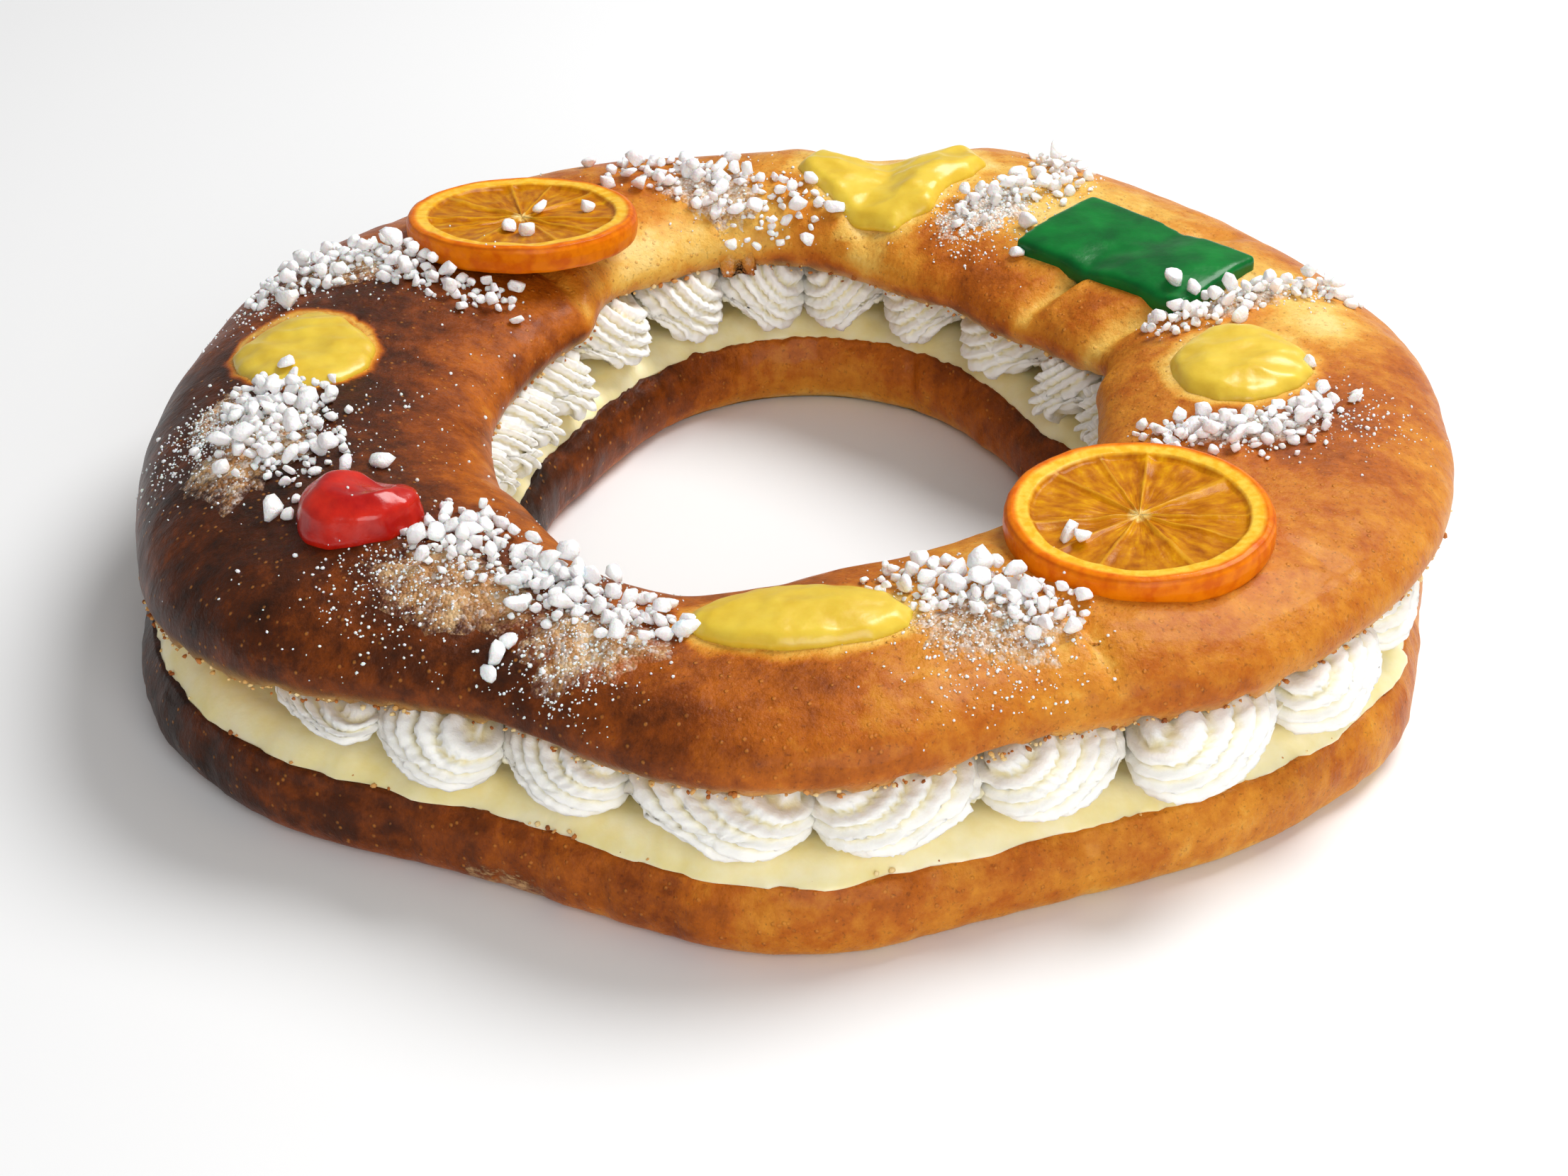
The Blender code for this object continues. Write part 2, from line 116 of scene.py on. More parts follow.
def ring_of(name, around, across):
    """A ring to be shaped: the piece, and each corner's angle and step round the section from outside."""
    bpy.ops.object.select_all(action="DESELECT")
    bpy.ops.mesh.primitive_torus_add(major_segments=around, minor_segments=across,
                                     major_radius=RING_MIDDLE, minor_radius=0.03)
    ring = bpy.context.object
    ring.name = name
    bpy.ops.object.mode_set(mode="EDIT")
    bpy.ops.mesh.select_all(action="SELECT")
    bpy.ops.mesh.subdivide(number_cuts=RING_CUTS)
    bpy.ops.object.mode_set(mode="OBJECT")
    bpy.ops.object.shade_smooth()
    x, y, z = corners_of(ring).T
    angle = np.degrees(np.arctan2(y, x)) % 360.0
    step = np.arctan2(z, np.hypot(x, y) - RING_MIDDLE) / (2 * np.pi) % 1.0
    return ring, angle, np.where(step > 0.99999, 0.0, step)


def on_ring(radius, turn, height):
    """Places round the ring's centre, from their radius, angle in radians and height."""
    return np.column_stack((RING_CENTRE.x + radius * np.cos(turn), RING_CENTRE.y + radius * np.sin(turn),
                            height))


def push_out(piece, depth):
    """Moves each corner out along its normal."""
    normals = np.empty(3 * len(piece.data.vertices))
    piece.data.vertex_normals.foreach_get("vector", normals)
    set_corners(piece, corners_of(piece) + normals.reshape(-1, 3) * np.reshape(depth, (-1, 1)))


def bumps(places, size, seed):
    """Smooth random bumps about this size, from -1 to 1. The size may differ along x, y and z."""
    scaled = np.asarray(places) / size + seed * 17.31
    return np.array([noise.noise(place) for place in scaled.tolist()])


def paint(piece, name, values):
    """Stores a number for each corner, which the piece's material reads."""
    piece.data.attributes.new(name, "FLOAT", "POINT").data.foreach_set("value", values)


def node_of(look, kind, settings=None, **sockets):
    """Adds a shader node, sets it and its sockets, or links them where the value is another's output."""
    made = look.node_tree.nodes.new("ShaderNode" + kind)
    for name, value in (settings or {}).items():
        setattr(made, name, value)
    for name, value in sockets.items():
        socket = made.inputs[int(name[1:])] if name[0] == "_" else made.inputs[name.replace("_", " ")]
        if isinstance(value, bpy.types.NodeSocket):
            look.node_tree.links.new(value, socket)
        else:
            socket.default_value = value
    return made


def maths(look, operation, first, second=0.0):
    return node_of(look, "Math", {"operation": operation}, _0=first, _1=second).outputs[0]


def times(look, first, second):
    return maths(look, "MULTIPLY", first, second)


def plus(look, first, second):
    return maths(look, "ADD", first, second)


def mixed(look, share, first, second):
    return node_of(look, "MixRGB", None, _0=share, _1=first, _2=second).outputs[0]


def stored(look, name):
    return node_of(look, "Attribute", {"attribute_name": name}).outputs["Fac"]


def grain(look, place, scale, detail=3.0, roughness=0.5):
    return node_of(look, "TexNoise", None, Vector=place, Scale=scale, Detail=detail,
                   Roughness=roughness).outputs[0]


def swing(look, amount, value):
    """A value from 0 to 1 turned into one that swings to both sides of 0, by half this amount."""
    return times(look, maths(look, "SUBTRACT", value, 0.5), amount)


def colour(red, green, blue):
    """A colour as seen on a screen, from 0 to 255, made linear."""
    return tuple(((part / 255.0 + 0.055) / 1.055) ** 2.4 if part > 10 else part / 3294.6
                 for part in (red, green, blue)) + (1.0,)


def ramp(look, value, stops):
    """Runs through colours, each given as the place in the ramp and its red, green and blue."""
    made = node_of(look, "ValToRGB", None, Fac=value)
    elements = made.color_ramp.elements
    while len(elements) < len(stops):
        elements.new(0.5)
    for element, (place, *shade) in zip(elements, stops):
        element.position = place
        element.color = colour(*shade)
    return made.outputs[0]


def level(look, value, low, high):
    """Runs from 0 at low to 1 at high, and is held there."""
    return node_of(look, "MapRange", {"clamp": True}, Value=value, From_Min=low, From_Max=high).outputs[0]


def bumped(look, strength, distance, height, under=None):
    """Relief that stands this many metres high, on top of the relief under it."""
    more = {} if under is None else {"Normal": under}
    return node_of(look, "Bump", None, Strength=strength, Distance=distance, Height=height,
                   **more).outputs[0]


def new_look(name, **settings):
    look = bpy.data.materials.new(name)
    look.use_nodes = True
    shader = look.node_tree.nodes["Principled BSDF"]
    for socket, value in settings.items():
        shader.inputs[socket.replace("_", " ")].default_value = value
    return look, shader, node_of(look, "TexCoord").outputs["Object"]


def join(look, value, shader, socket):
    look.node_tree.links.new(value, shader.inputs[socket])


def dress(piece, look, slot, *nodes):
    """Gives a finished piece its material, hangs it under the root body and hides the CAD nodes it stands
    for.
    """
    piece.data.materials.clear()
    piece.data.materials.append(look)
    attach(piece, "root")
    if nodes:
        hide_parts(*nodes)


def crust_shade(look, degree):
    """The crust's colour, from pale dough over gold to nearly black brown."""
    return ramp(look, degree, (
        (0.0, 244, 212, 132), (0.16, 234, 184, 84), (0.34, 214, 138, 40), (0.52, 182, 95, 17),
        (0.68, 134, 62, 9), (0.84, 80, 34, 5), (1.0, 40, 18, 5)))


def baked_crust(name):
    """Egg-washed crust, mottled round its baking degree, with blisters, pores and torn places."""
    look, shader, place = new_look(name, Coat_Weight=0.07, Coat_Roughness=0.12, Specular_IOR_Level=0.16)
    patchy = swing(look, 0.4, grain(look, place, 34.0, 6.0, 0.55))
    mottled = swing(look, 0.5, grain(look, place, 190.0, 6.0, 0.68))
    crust = crust_shade(look, plus(look, stored(look, "bake"), plus(look, patchy, mottled)))
    spots = node_of(look, "TexVoronoi", {"feature": "F1"}, Vector=place, Scale=420.0)
    spot = times(look, level(look, spots.outputs["Distance"], 0.26, 0.12),
                 level(look, spots.outputs["Color"], 0.52, 0.66))
    crust = mixed(look, times(look, spot, 0.4), crust, colour(226, 146, 62))
    pores = level(look, grain(look, place, 1000.0, 2.0), 0.6, 0.74)
    crust = mixed(look, times(look, pores, 0.4), crust, colour(60, 24, 6))
    flat = node_of(look, "Mapping", None, Vector=place, Scale=(1.0, 1.0, 2.2)).outputs[0]
    flakes = grain(look, flat, 330.0, 7.0, 0.8)
    torn = level(look, times(look, stored(look, "scuff"), flakes), 0.54, 0.66)
    crust = mixed(look, times(look, torn, 0.7), crust, colour(224, 178, 122))
    crumb = mixed(look, grain(look, place, 900.0, 3.0), colour(236, 196, 122), colour(198, 134, 58))
    join(look, mixed(look, stored(look, "cut"), crust, crumb), shader, "Base Color")
    tall = node_of(look, "Mapping", None, Vector=place, Scale=(1.0, 1.0, 0.5)).outputs[0]
    relief = bumped(look, 0.9, 0.0016, grain(look, tall, 130.0, 7.0, 0.62))
    relief = bumped(look, 0.6, 0.0006, spot, relief)
    relief = bumped(look, 0.6, 0.0004, grain(look, place, 900.0, 4.0, 0.65), relief)
    relief = bumped(look, 0.6, 0.0008, torn, relief)
    join(look, relief, shader, "Normal")
    rough = node_of(look, "MapRange", None, Value=grain(look, place, 80.0, 4.0), To_Min=0.26, To_Max=0.54)
    join(look, rough.outputs[0], shader, "Roughness")
    return look


def base_side(step):
    """Down-to-up profile of the lower half's side: how far out of the cut rim, and how high."""
    turn = held(step / BASE_BELLY_SHARE) * np.pi / 2
    rise = held((step - BASE_BELLY_SHARE) / (1.0 - BASE_BELLY_SHARE))
    out = BASE_BELLY - BASE_FOOT + BASE_FOOT * np.sin(turn) ** (2 / BASE_ROUNDNESS)
    height = BASE_BELLY_HEIGHT * (1.0 - held(np.cos(turn)) ** (2 / BASE_ROUNDNESS))
    return out - BASE_BELLY * rise ** 2, height + (BASE_HEIGHT - BASE_BELLY_HEIGHT) * rise


base, angle, step = ring_of("lower_bread", 160, 34)
outer = swollen(angle, *BASE_OUTER)
inner = swollen(angle, *BASE_INNER)
outer_out, outer_height = base_side(step / BASE_SIDE_END)
inner_out, inner_height = base_side((BASE_HOLE_END - step) / (BASE_HOLE_END - BASE_CUT_END))
cut_face = blend(outer, inner, (step - BASE_SIDE_END) / (BASE_CUT_END - BASE_SIDE_END))
underside = blend(inner, outer, (step - BASE_HOLE_END) / (1.0 - BASE_HOLE_END))
parts = [step < BASE_SIDE_END, step < BASE_CUT_END, step < BASE_HOLE_END]
radius = np.select(parts, [outer + outer_out, cut_face, inner - inner_out], underside)
height = np.select(parts, [outer_height, BASE_HEIGHT, inner_height], 0.0)
set_corners(base, on_ring(radius, np.radians(angle), height))
places = corners_of(base)
free = held(height / 0.004) * np.clip((BASE_HEIGHT - height) / 0.003, 0.25, 1.0)
dents = 0.0011 * bumps(places, (0.045, 0.045, 0.06), 1) + 0.0007 * bumps(places, (0.012, 0.012, 0.03), 2)
dents += 0.0004 * bumps(places, (0.0045, 0.0045, 0.006), 3)
wander = angle + 1.5 * bumps(places, 0.03, 6)
dents -= swollen(wander, 0.0, BASE_CREASES) * (0.6 + 0.8 * bumps(places, 0.012, 7))
push_out(base, dents * free)
rim = held(1.0 - (BASE_HEIGHT - height) / 0.0022)
ragged = corners_of(base)
ragged[:, 2] += rim * (0.001 * bumps(ragged, 0.0075, 4) + 0.0008 * bumps(ragged, 0.0026, 5))
set_corners(base, ragged)
outside = step < BASE_CUT_END
bake = swollen(angle, *BASE_BAKE) - 0.2 * held(1.0 - height / 0.006)
bake += np.where(step > BASE_CUT_END, swollen(angle, *BASE_BAKE_HOLE) + 0.22 * height / BASE_HEIGHT, 0.0)
streaks = bumps(np.column_stack((angle * 0.0026, height, 0.0 * angle)), (0.009, 0.03, 1.0), 8)
bake += 0.1 * np.where(outside, streaks, 0.0)
paint(base, "bake", bake)
paint(base, "scuff", swollen(angle, 0.0, BASE_SCUFFS) * np.where(outside, held(1.4 - height / 0.014), 0.0))
paint(base, "cut", np.where((step > 0.41) & (step < 0.47), 1.0, 0.0))
dress(base, baked_crust("lower_crust"), "crust", "bun_bottom")

# ---- Layer of pastry custard -------------------------------------------------
# Thick boiled custard, spread over the cut face. It shows as a smooth sloping ledge outside the cream and
# in the hole, has run over the rim in a few places, and stands high where the lid closes at the left.

CUSTARD_HEIGHT = 0.0255
CUSTARD_SHORE = 0.01
CUSTARD_INSET = 0.0006
CUSTARD_SINK = 0.0012
CUSTARD_TOP_END = 0.86
CUSTARD_HEAP = ((198, 20, 0.007),)
CUSTARD_RUNS = (
    (236, 5, 0.0018), (254, 3, 0.0012), (262, 9, 0.0012), (271, 4, 0.0016), (284, 4, 0.002),
    (318, 5, 0.0016), (331, 6, 0.0022), (344, 5, 0.0016), (150, 5, 0.0012), (60, 6, 0.0012),
)
LID_OUTER = (0.1665, (
    (206, 40, 0.0125), (242, 24, -0.012), (291, 20, -0.009), (338, 26, 0.003), (94, 30, -0.016),
    (130, 30, -0.006), (38, 34, -0.005), (172, 24, 0.005),
))
LID_INNER = (0.08, (
    (102, 42, 0.02), (127, 14, 0.006), (44, 16, -0.004), (16, 13, 0.007), (200, 46, 0.007),
    (219, 28, 0.006), (247, 34, 0.022), (280, 56, 0.009),
))
LID_RIM_OUTER = (0.0455, ((188, 40, -0.018), (218, 26, -0.0045), (250, 34, -0.0035)))
LID_RIM_INNER = (0.045, ((200, 60, -0.002),))


def lid_underside(angle, radius):
    inner = swollen(angle, *LID_INNER)
    outer = swollen(angle, *LID_OUTER)
    share = held((radius - inner) / (outer - inner))
    return blend(swollen(angle, *LID_RIM_INNER), swollen(angle, *LID_RIM_OUTER), share)


def pastry_custard(name, shade, deep):
    look, shader, place = new_look(name, Roughness=0.34, Subsurface_Weight=0.35, Subsurface_Scale=0.005,
                                   Subsurface_Radius=(1.0, 0.75, 0.3), Coat_Weight=0.12, Coat_Roughness=0.2)
    cloudy = level(look, grain(look, place, 120.0, 4.0, 0.55), 0.35, 0.7)
    join(look, mixed(look, cloudy, shade, deep), shader, "Base Color")
    join(look, bumped(look, 0.35, 0.0007, grain(look, place, 210.0, 3.0)), shader, "Normal")
    return look


custard, angle, step = ring_of("custard_spread", 140, 24)
outer = swollen(angle, *BASE_OUTER) - CUSTARD_INSET + swollen(angle, 0.0, CUSTARD_RUNS)
inner = swollen(angle, *BASE_INNER) + CUSTARD_INSET
wobble = np.column_stack((np.cos(np.radians(angle)), np.sin(np.radians(angle)), step < 0.5))
outer += 0.0006 * bumps(wobble, 0.045, 6) + 0.0007 * bumps(wobble, 0.016, 10)
inner += 0.0007 * bumps(wobble, 0.055, 7)
on_top = step < CUSTARD_TOP_END
across = 0.5 + 0.5 * np.cos(np.pi * held(step / CUSTARD_TOP_END))
back = (step - CUSTARD_TOP_END) / (1.0 - CUSTARD_TOP_END)
radius = blend(inner, outer, np.where(on_top, across, back))
shore = held(np.minimum(outer - radius, radius - inner) / CUSTARD_SHORE)
heap = swollen(angle, 0.0, CUSTARD_HEAP) * held((radius - 0.135) / 0.02)
top = BASE_HEIGHT + (CUSTARD_HEIGHT + heap - BASE_HEIGHT) * np.sin(0.5 * np.pi * shore) ** 0.8
top = np.minimum(top, lid_underside(angle, radius) + 0.0002)
height = np.where(on_top, np.maximum(top, BASE_HEIGHT), BASE_HEIGHT - CUSTARD_SINK)
set_corners(custard, on_ring(radius, np.radians(angle), height))
places = corners_of(custard)
lumps = 0.001 * bumps(places, 0.013, 8) + 0.0005 * bumps(places, 0.0055, 9)
push_out(custard, np.where(on_top, lumps * (0.25 + 0.75 * shore), 0.0))
dress(custard, pastry_custard("custard", colour(255, 240, 196), colour(248, 228, 158)), "pastry_custard",
      "custard_layer")

# ---- Whipped cream -----------------------------------------------------------
# Firm whipped cream, piped across the ring with a star nozzle, rope beside rope. Each rope runs from the
# hole to the outside. Its ends are rounded, and their ridges sweep down toward the front in layers.

ROPE_COUNT = 25
ROPE_ROUND = 0.0145
ROPE_SEGMENTS = 84
ROPE_ROWS = 52
ROPE_END_SHARE = 0.45
ROPE_END_ROUNDNESS = 2.3
ROPE_SQUARENESS = 2.7
ROPE_SUNK = 0.001
ROPE_PROUD = 0.0016
RIDGES = 7.5
RIDGE_DEPTH = 0.003
RIDGE_CREST = 0.78
SWIRL_SIDE = 1.5
SWIRL_UP = 1.75
CREAM_RELIEF = 0.0004
ROPE_REACH = {10: 0.0185, 11: 0.0035, 12: 0.003, 13: 0.0015, 14: 0.002, 15: 0.003, 16: 0.003, 17: 0.002}
ROPE_REACH_IN = {1: 0.004, 2: 0.005, 3: 0.007, 4: 0.003, 5: 0.003, 6: 0.003, 7: 0.002, 23: 0.003, 24: 0.004,
                 25: 0.004}
ROPE_BEND = {10: 6.0}


def rope_frame(node):
    """A CAD rope's direction, its ends' radii, and each ring's radius, middle, half angle and heights."""
    away = corners_of(node) - RING_CENTRE
    middle = np.arctan2(away[:, 1].mean(), away[:, 0].mean())
    turn = (np.arctan2(away[:, 1], away[:, 0]) - middle + np.pi) % (2 * np.pi) - np.pi
    radius = np.hypot(away[:, 0], away[:, 1])
    rings = []
    for value in sorted(set(np.round(radius, 4)))[2:-2]:
        near = np.abs(radius - value) < 0.00011
        rings.append((value, 0.5 * (turn[near].min() + turn[near].max()), 0.5 * np.ptp(turn[near]),
                      away[near, 2].min(), away[near, 2].max()))
    return middle, radius.min(), radius.max(), np.array(rings)


def ball_of(name, around, rows):
    """A ball to be shaped: the piece, and each corner's angle in radians and place from bottom to top."""
    bpy.ops.object.select_all(action="DESELECT")
    bpy.ops.mesh.primitive_uv_sphere_add(segments=around, ring_count=rows, radius=1.0)
    piece = bpy.context.object
    piece.name = name
    bpy.ops.object.shade_smooth()
    x, y, z = corners_of(piece).T
    return piece, np.arctan2(y, x), np.arcsin(np.clip(z, -1.0, 1.0)) / np.pi + 0.5


def cream_rope(number):
    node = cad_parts[f"cream_rope_{number:02d}"]
    middle, inner, outer, rings = rope_frame(node)
    outer += ROPE_REACH.get(number, 0.0)
    inner -= ROPE_REACH_IN.get(number, 0.0)
    length = outer - inner
    rope, round_angle, along = ball_of(f"piped_cream_{number:02d}", ROPE_SEGMENTS, ROPE_ROWS)
    near_end = np.minimum(along, 1.0 - along)
    end_turn = held(near_end / ROPE_END_SHARE) * np.pi / 2
    straight = held((near_end - ROPE_END_SHARE) / (0.5 - ROPE_END_SHARE))
    away = ROPE_ROUND * (1.0 - np.cos(end_turn)) + (0.5 * length - ROPE_ROUND) * straight
    radius = np.where(along < 0.5, inner + away, outer - away)
    end = held(1.0 - away / ROPE_ROUND)
    size = held(1.0 - end ** ROPE_END_ROUNDNESS) ** (1 / ROPE_END_ROUNDNESS)
    mid, half, floor, roof = (np.interp(radius, rings[:, 0], rings[:, column]) for column in (1, 2, 3, 4))
    floor -= ROPE_SUNK
    roof += ROPE_PROUD
    side, up = np.cos(round_angle), np.sin(round_angle)
    squared = (np.abs(side) ** ROPE_SQUARENESS + np.abs(up) ** ROPE_SQUARENESS) ** (1 / ROPE_SQUARENESS)
    side, up = side * size / squared, up * size / squared
    turn = middle + mid + 1.05 * half * side
    past_middle = held((radius - 0.5 * (inner + outer)) / (0.5 * length))
    turn += radians(ROPE_BEND.get(number, 0.0)) * past_middle ** 2
    degrees = np.degrees(middle) % 360.0
    outward = along >= 0.5
    toward = np.where(outward, 1.0 if 95.0 < degrees < 276.0 else -1.0,
                      -1.0 if 90.0 < degrees < 270.0 else 1.0)
    lifted = held(-side * toward) * held(-up) * held(1.6 - away / ROPE_ROUND)
    height = 0.5 * (floor + roof) + 0.5 * (roof - floor) * (up + 1.25 * lifted)
    radius += np.where(outward, 0.004, -0.003) * side * toward * end
    radius += np.where(outward, 0.003, -0.007) * held(-up) * end
    set_corners(rope, on_ring(radius, turn, height))
    places = corners_of(rope)
    across, rise = side - SWIRL_SIDE * toward, up - SWIRL_UP
    swirl = np.hypot(across / 2.3, rise / 2.4)
    swirl += 0.014 * bumps(places, 0.012, 20 + number) + 0.004 * bumps(places, 0.003, 50 + number)
    swirl += 0.009 * np.sin(62.0 * np.arctan2(rise, across) + number + 3.0 * bumps(places, 0.005, 170))
    layer = (RIDGES * swirl + 0.37 * number) % 1.0
    ridge = np.where(layer < RIDGE_CREST, np.sin(0.5 * np.pi * held(layer / RIDGE_CREST)),
                     (1.0 - layer) / (1.0 - RIDGE_CREST))
    scallop = 0.6 + 0.6 * bumps(places, 0.0024, 80 + number)
    fade = held(1.0 - (away - ROPE_ROUND) / 0.012)
    depth = RIDGE_DEPTH * (ridge - 0.6) * (0.7 + 0.5 * scallop) + CREAM_RELIEF * bumps(places, 0.0016, 140)
    push_out(rope, fade * depth + 0.0012 * bumps(places, 0.014, 110 + number))
    # The ridge height is kept for the material, which paints shade into the grooves from it.
    paint(rope, "ridge", ridge * fade)
    return rope


cream, shader, place = new_look("whipped_cream", Roughness=0.55, Subsurface_Weight=0.18,
                                Subsurface_Scale=0.002, Subsurface_Radius=(1.0, 0.85, 0.55))
# Painted shade: the grooves between the ridges are coloured a darker, yellower cream than the ridge tops.
painted_groove_shade = level(cream, stored(cream, "ridge"), 0.0, 0.6)
join(cream, mixed(cream, painted_groove_shade, colour(238, 226, 176), colour(252, 250, 243)), shader, "Base Color")
join(cream, bumped(cream, 0.5, 0.0004, grain(cream, place, 1100.0, 4.0, 0.6)), shader, "Normal")
for number in range(1, ROPE_COUNT + 1):
    dress(cream_rope(number), cream, "whipped_cream", f"cream_rope_{number:02d}")

# ---- Upper half of the bread: the lid ----------------------------------------
# The domed top of the ring, pressed down at the left. Its crust is brushed with egg: nearly black at the
# far left, gold at the right, pale in the folds where the ends of the dough rope meet and round the fruit.

LID_CREST = (0.0655, (
    (245, 28, -0.004), (305, 30, 0.0015), (200, 40, -0.001), (110, 40, -0.002), (38, 36, -0.0012),
))
LID_BELLY = 0.0022
LID_BELLY_SHARE = 0.22
LID_FULLNESS = 2.1
RIM_STEP = 0.07  # steps round the section, from 0 to 1: outer rim, dome, rim of the hole, cut face
TOP_STEP = 0.8
UNDER_STEP = TOP_STEP + RIM_STEP
INNER_CHIPS = 0.35
HALO_BAKE = 0.04
LID_FOLDS = (  # angle, reach and depth, each first at the hole and then at the outside
    (78.0, 80.0, 5.0, 13.0, 0.003, 0.01), (38.0, 33.0, 4.0, 2.0, 0.0062, 0.0),
    (20.0, 20.0, 4.5, 2.0, 0.0066, 0.0), (139.0, 139.0, 4.0, 2.0, 0.0042, 0.0),
    (296.0, 296.0, 1.0, 1.6, 0.0, 0.003), (243.0, 236.0, 1.0, 2.6, 0.0, 0.0012),
    (253.0, 247.0, 1.0, 2.4, 0.0, 0.001), (226.0, 222.0, 1.0, 2.2, 0.0, 0.0008),
    (318.0, 322.0, 1.0, 2.2, 0.0, 0.0007), (8.0, 350.0, 1.4, 2.0, 0.0008, 0.0004),
)
LID_BAKE_INNER = (0.44, (
    (200, 66, 0.16), (250, 44, 0.2), (152, 34, 0.12), (112, 24, -0.36), (78, 24, -0.12),
    (320, 44, -0.02),
))
LID_BAKE_CREST = (0.42, (
    (185, 66, 0.46), (240, 46, 0.24), (122, 26, 0.06), (80, 26, -0.2), (50, 26, -0.34), (20, 22, -0.08),
    (345, 26, 0.12),
))
LID_BAKE_OUTER = (0.44, (
    (205, 80, 0.44), (254, 34, 0.16), (140, 30, 0.1), (330, 60, -0.01), (30, 40, -0.02),
))
LID_BLOTS = (  # angle and place from hole to outside, how far each way, and how much darker
    (50, 0.13, 11, 0.14, 0.14), (27, 0.13, 6, 0.13, 0.1), (63, 0.2, 8, 0.16, 0.12),
    (20, 0.72, 9, 0.16, -0.16), (300, 0.3, 9, 0.16, -0.1), (312, 0.6, 10, 0.12, 0.14),
    (99, 0.16, 9, 0.18, -0.1), (348, 0.66, 14, 0.14, 0.1), (127, 0.12, 9, 0.16, -0.16),
    (225, 0.1, 14, 0.12, -0.06), (344, 0.45, 9, 0.14, 0.07), (5, 0.88, 20, 0.14, 0.06),
    (264, 0.55, 10, 0.2, 0.08), (228, 0.55, 20, 0.22, 0.08), (90, 0.35, 7, 0.16, 0.1),
    (141, 0.3, 6, 0.2, 0.14), (289, 0.75, 12, 0.26, -0.1), (250, 0.78, 8, 0.12, -0.14),
    (240, 0.86, 4, 0.1, 0.14), (256, 0.88, 3, 0.1, 0.12), (166, 0.6, 10, 0.18, 0.08),
    (200, 0.7, 12, 0.2, 0.06), (7, 0.68, 6.5, 0.13, -0.36), (4, 0.5, 7, 0.08, -0.1),
)
HALOS = {  # how far the pale crust reaches round each patch
    "custard_patch_left": 0.0022, "custard_patch_front": 0.0045, "custard_patch_right": 0.0045,
    "custard_patch_back": 0.0055,
}


def eased(share):
    """A share from 0 to 1 that starts and stops gently."""
    return share * (share * (3.0 - 2.0 * share))


def fold_depth(angle, share):
    depth = np.zeros_like(angle)
    for inner_angle, outer_angle, inner_reach, outer_reach, inner_depth, outer_depth in LID_FOLDS:
        away = np.abs(off_by(angle, blend(inner_angle, outer_angle, share)))
        slack = held(1.0 - away / blend(inner_reach, outer_reach, share))
        depth += blend(inner_depth, outer_depth, share) * eased(slack)
    return depth


def tree_of(piece):
    return BVHTree.FromPolygons([tuple(corner) for corner in corners_of(piece)],
                                [tuple(face.vertices) for face in piece.data.polygons])


lid, angle, step = ring_of("upper_bread", 200, 46)
inner = swollen(angle, *LID_INNER)
outer = swollen(angle, *LID_OUTER)
crest = swollen(angle, *LID_CREST)
turn = held((step - RIM_STEP) / (TOP_STEP - RIM_STEP)) * np.pi
share = 0.5 + 0.5 * np.cos(turn)
radius = blend(inner - LID_BELLY, outer + LID_BELLY, share)
belly = blend(lid_underside(angle, radius), crest, LID_BELLY_SHARE)
round_off = held(1.0 - np.abs(np.cos(turn)) ** LID_FULLNESS) ** (1.0 / LID_FULLNESS)
height = belly + (crest - belly - fold_depth(angle, share)) * round_off
rise = held(np.where(step < RIM_STEP, step / RIM_STEP, (UNDER_STEP - step) / RIM_STEP))
at_rim = (step < RIM_STEP) | ((step > TOP_STEP) & (step < UNDER_STEP))
outside = step < 0.5
rim_radius = np.where(outside, outer, inner)
rim_height = lid_underside(angle, rim_radius)
out = np.where(outside, LID_BELLY, -LID_BELLY) * np.sin(0.5 * np.pi * rise)
radius = np.where(at_rim, rim_radius + out, radius)
height = np.where(at_rim, blend(rim_height, blend(rim_height, crest, LID_BELLY_SHARE), rise), height)
under = step >= UNDER_STEP
under_share = (step - UNDER_STEP) / (1.0 - UNDER_STEP)
radius = np.where(under, blend(inner, outer, under_share), radius)
height = np.where(under, lid_underside(angle, radius) + 0.001 * np.sin(np.pi * under_share), height)
set_corners(lid, on_ring(radius, np.radians(angle), height))
places = corners_of(lid)
crusty = np.where(at_rim, rise, 1.0)
dents = 0.0013 * bumps(places, 0.046, 11) + 0.0005 * bumps(places, 0.016, 12)
dents += 0.0002 * bumps(places, 0.006, 13)
push_out(lid, np.where(under, 0.0, dents * (0.25 + 0.75 * crusty)))
rim = np.where(at_rim, 1.0 - rise, 0.0) ** 2
ragged = corners_of(lid)
chipped = np.clip(bumps(ragged, 0.0085, 20) - 0.08, 0.0, 0.6) * 0.0065
chipped += 0.0014 * bumps(ragged, 0.0052, 14) + 0.0016 * bumps(ragged, 0.0026, 15)
ragged[:, 2] += rim * chipped * np.where(outside, 1.0, INNER_CHIPS)
set_corners(lid, ragged)
places = corners_of(lid)
bake = swollen(angle, *LID_BAKE_CREST)
bake = blend(bake, swollen(angle, *LID_BAKE_INNER), eased(held(1.0 - share / 0.42)))
bake = blend(bake, swollen(angle, *LID_BAKE_OUTER), eased(held((share - 0.52) / 0.48)))
for blot_angle, blot_share, reach, share_reach, darker in LID_BLOTS:
    away = off_by(angle, blot_angle) / reach
    bake += darker * np.exp(-away ** 2 - ((share - blot_share) / share_reach) ** 2)
bake -= 46.0 * np.minimum(fold_depth(angle, share), 0.006) * np.where(share < 0.5, 1.0, 0.6)
# The lid's inside wall at the back is made darker toward its lower edge, just above the rim of the hole.
low_inside_darkening = held(1.0 - (places[:, 2] - rim_height) / 0.0075) * held(1.6 - 2.6 * share)
low_inside_darkening *= held(1.0 - np.abs(angle - 95.0) / 90.0) ** 0.5
bake += low_inside_darkening * (0.34 + 0.3 * bumps(places, 0.006, 17))
streaks = bumps(np.column_stack((angle * 0.0022, share * 0.07, 0.0 * share)), (0.011, 0.05, 1.0), 18)
bake += 0.07 * streaks + 0.05 * bumps(places, 0.011, 19)
halo = np.zeros(len(places))
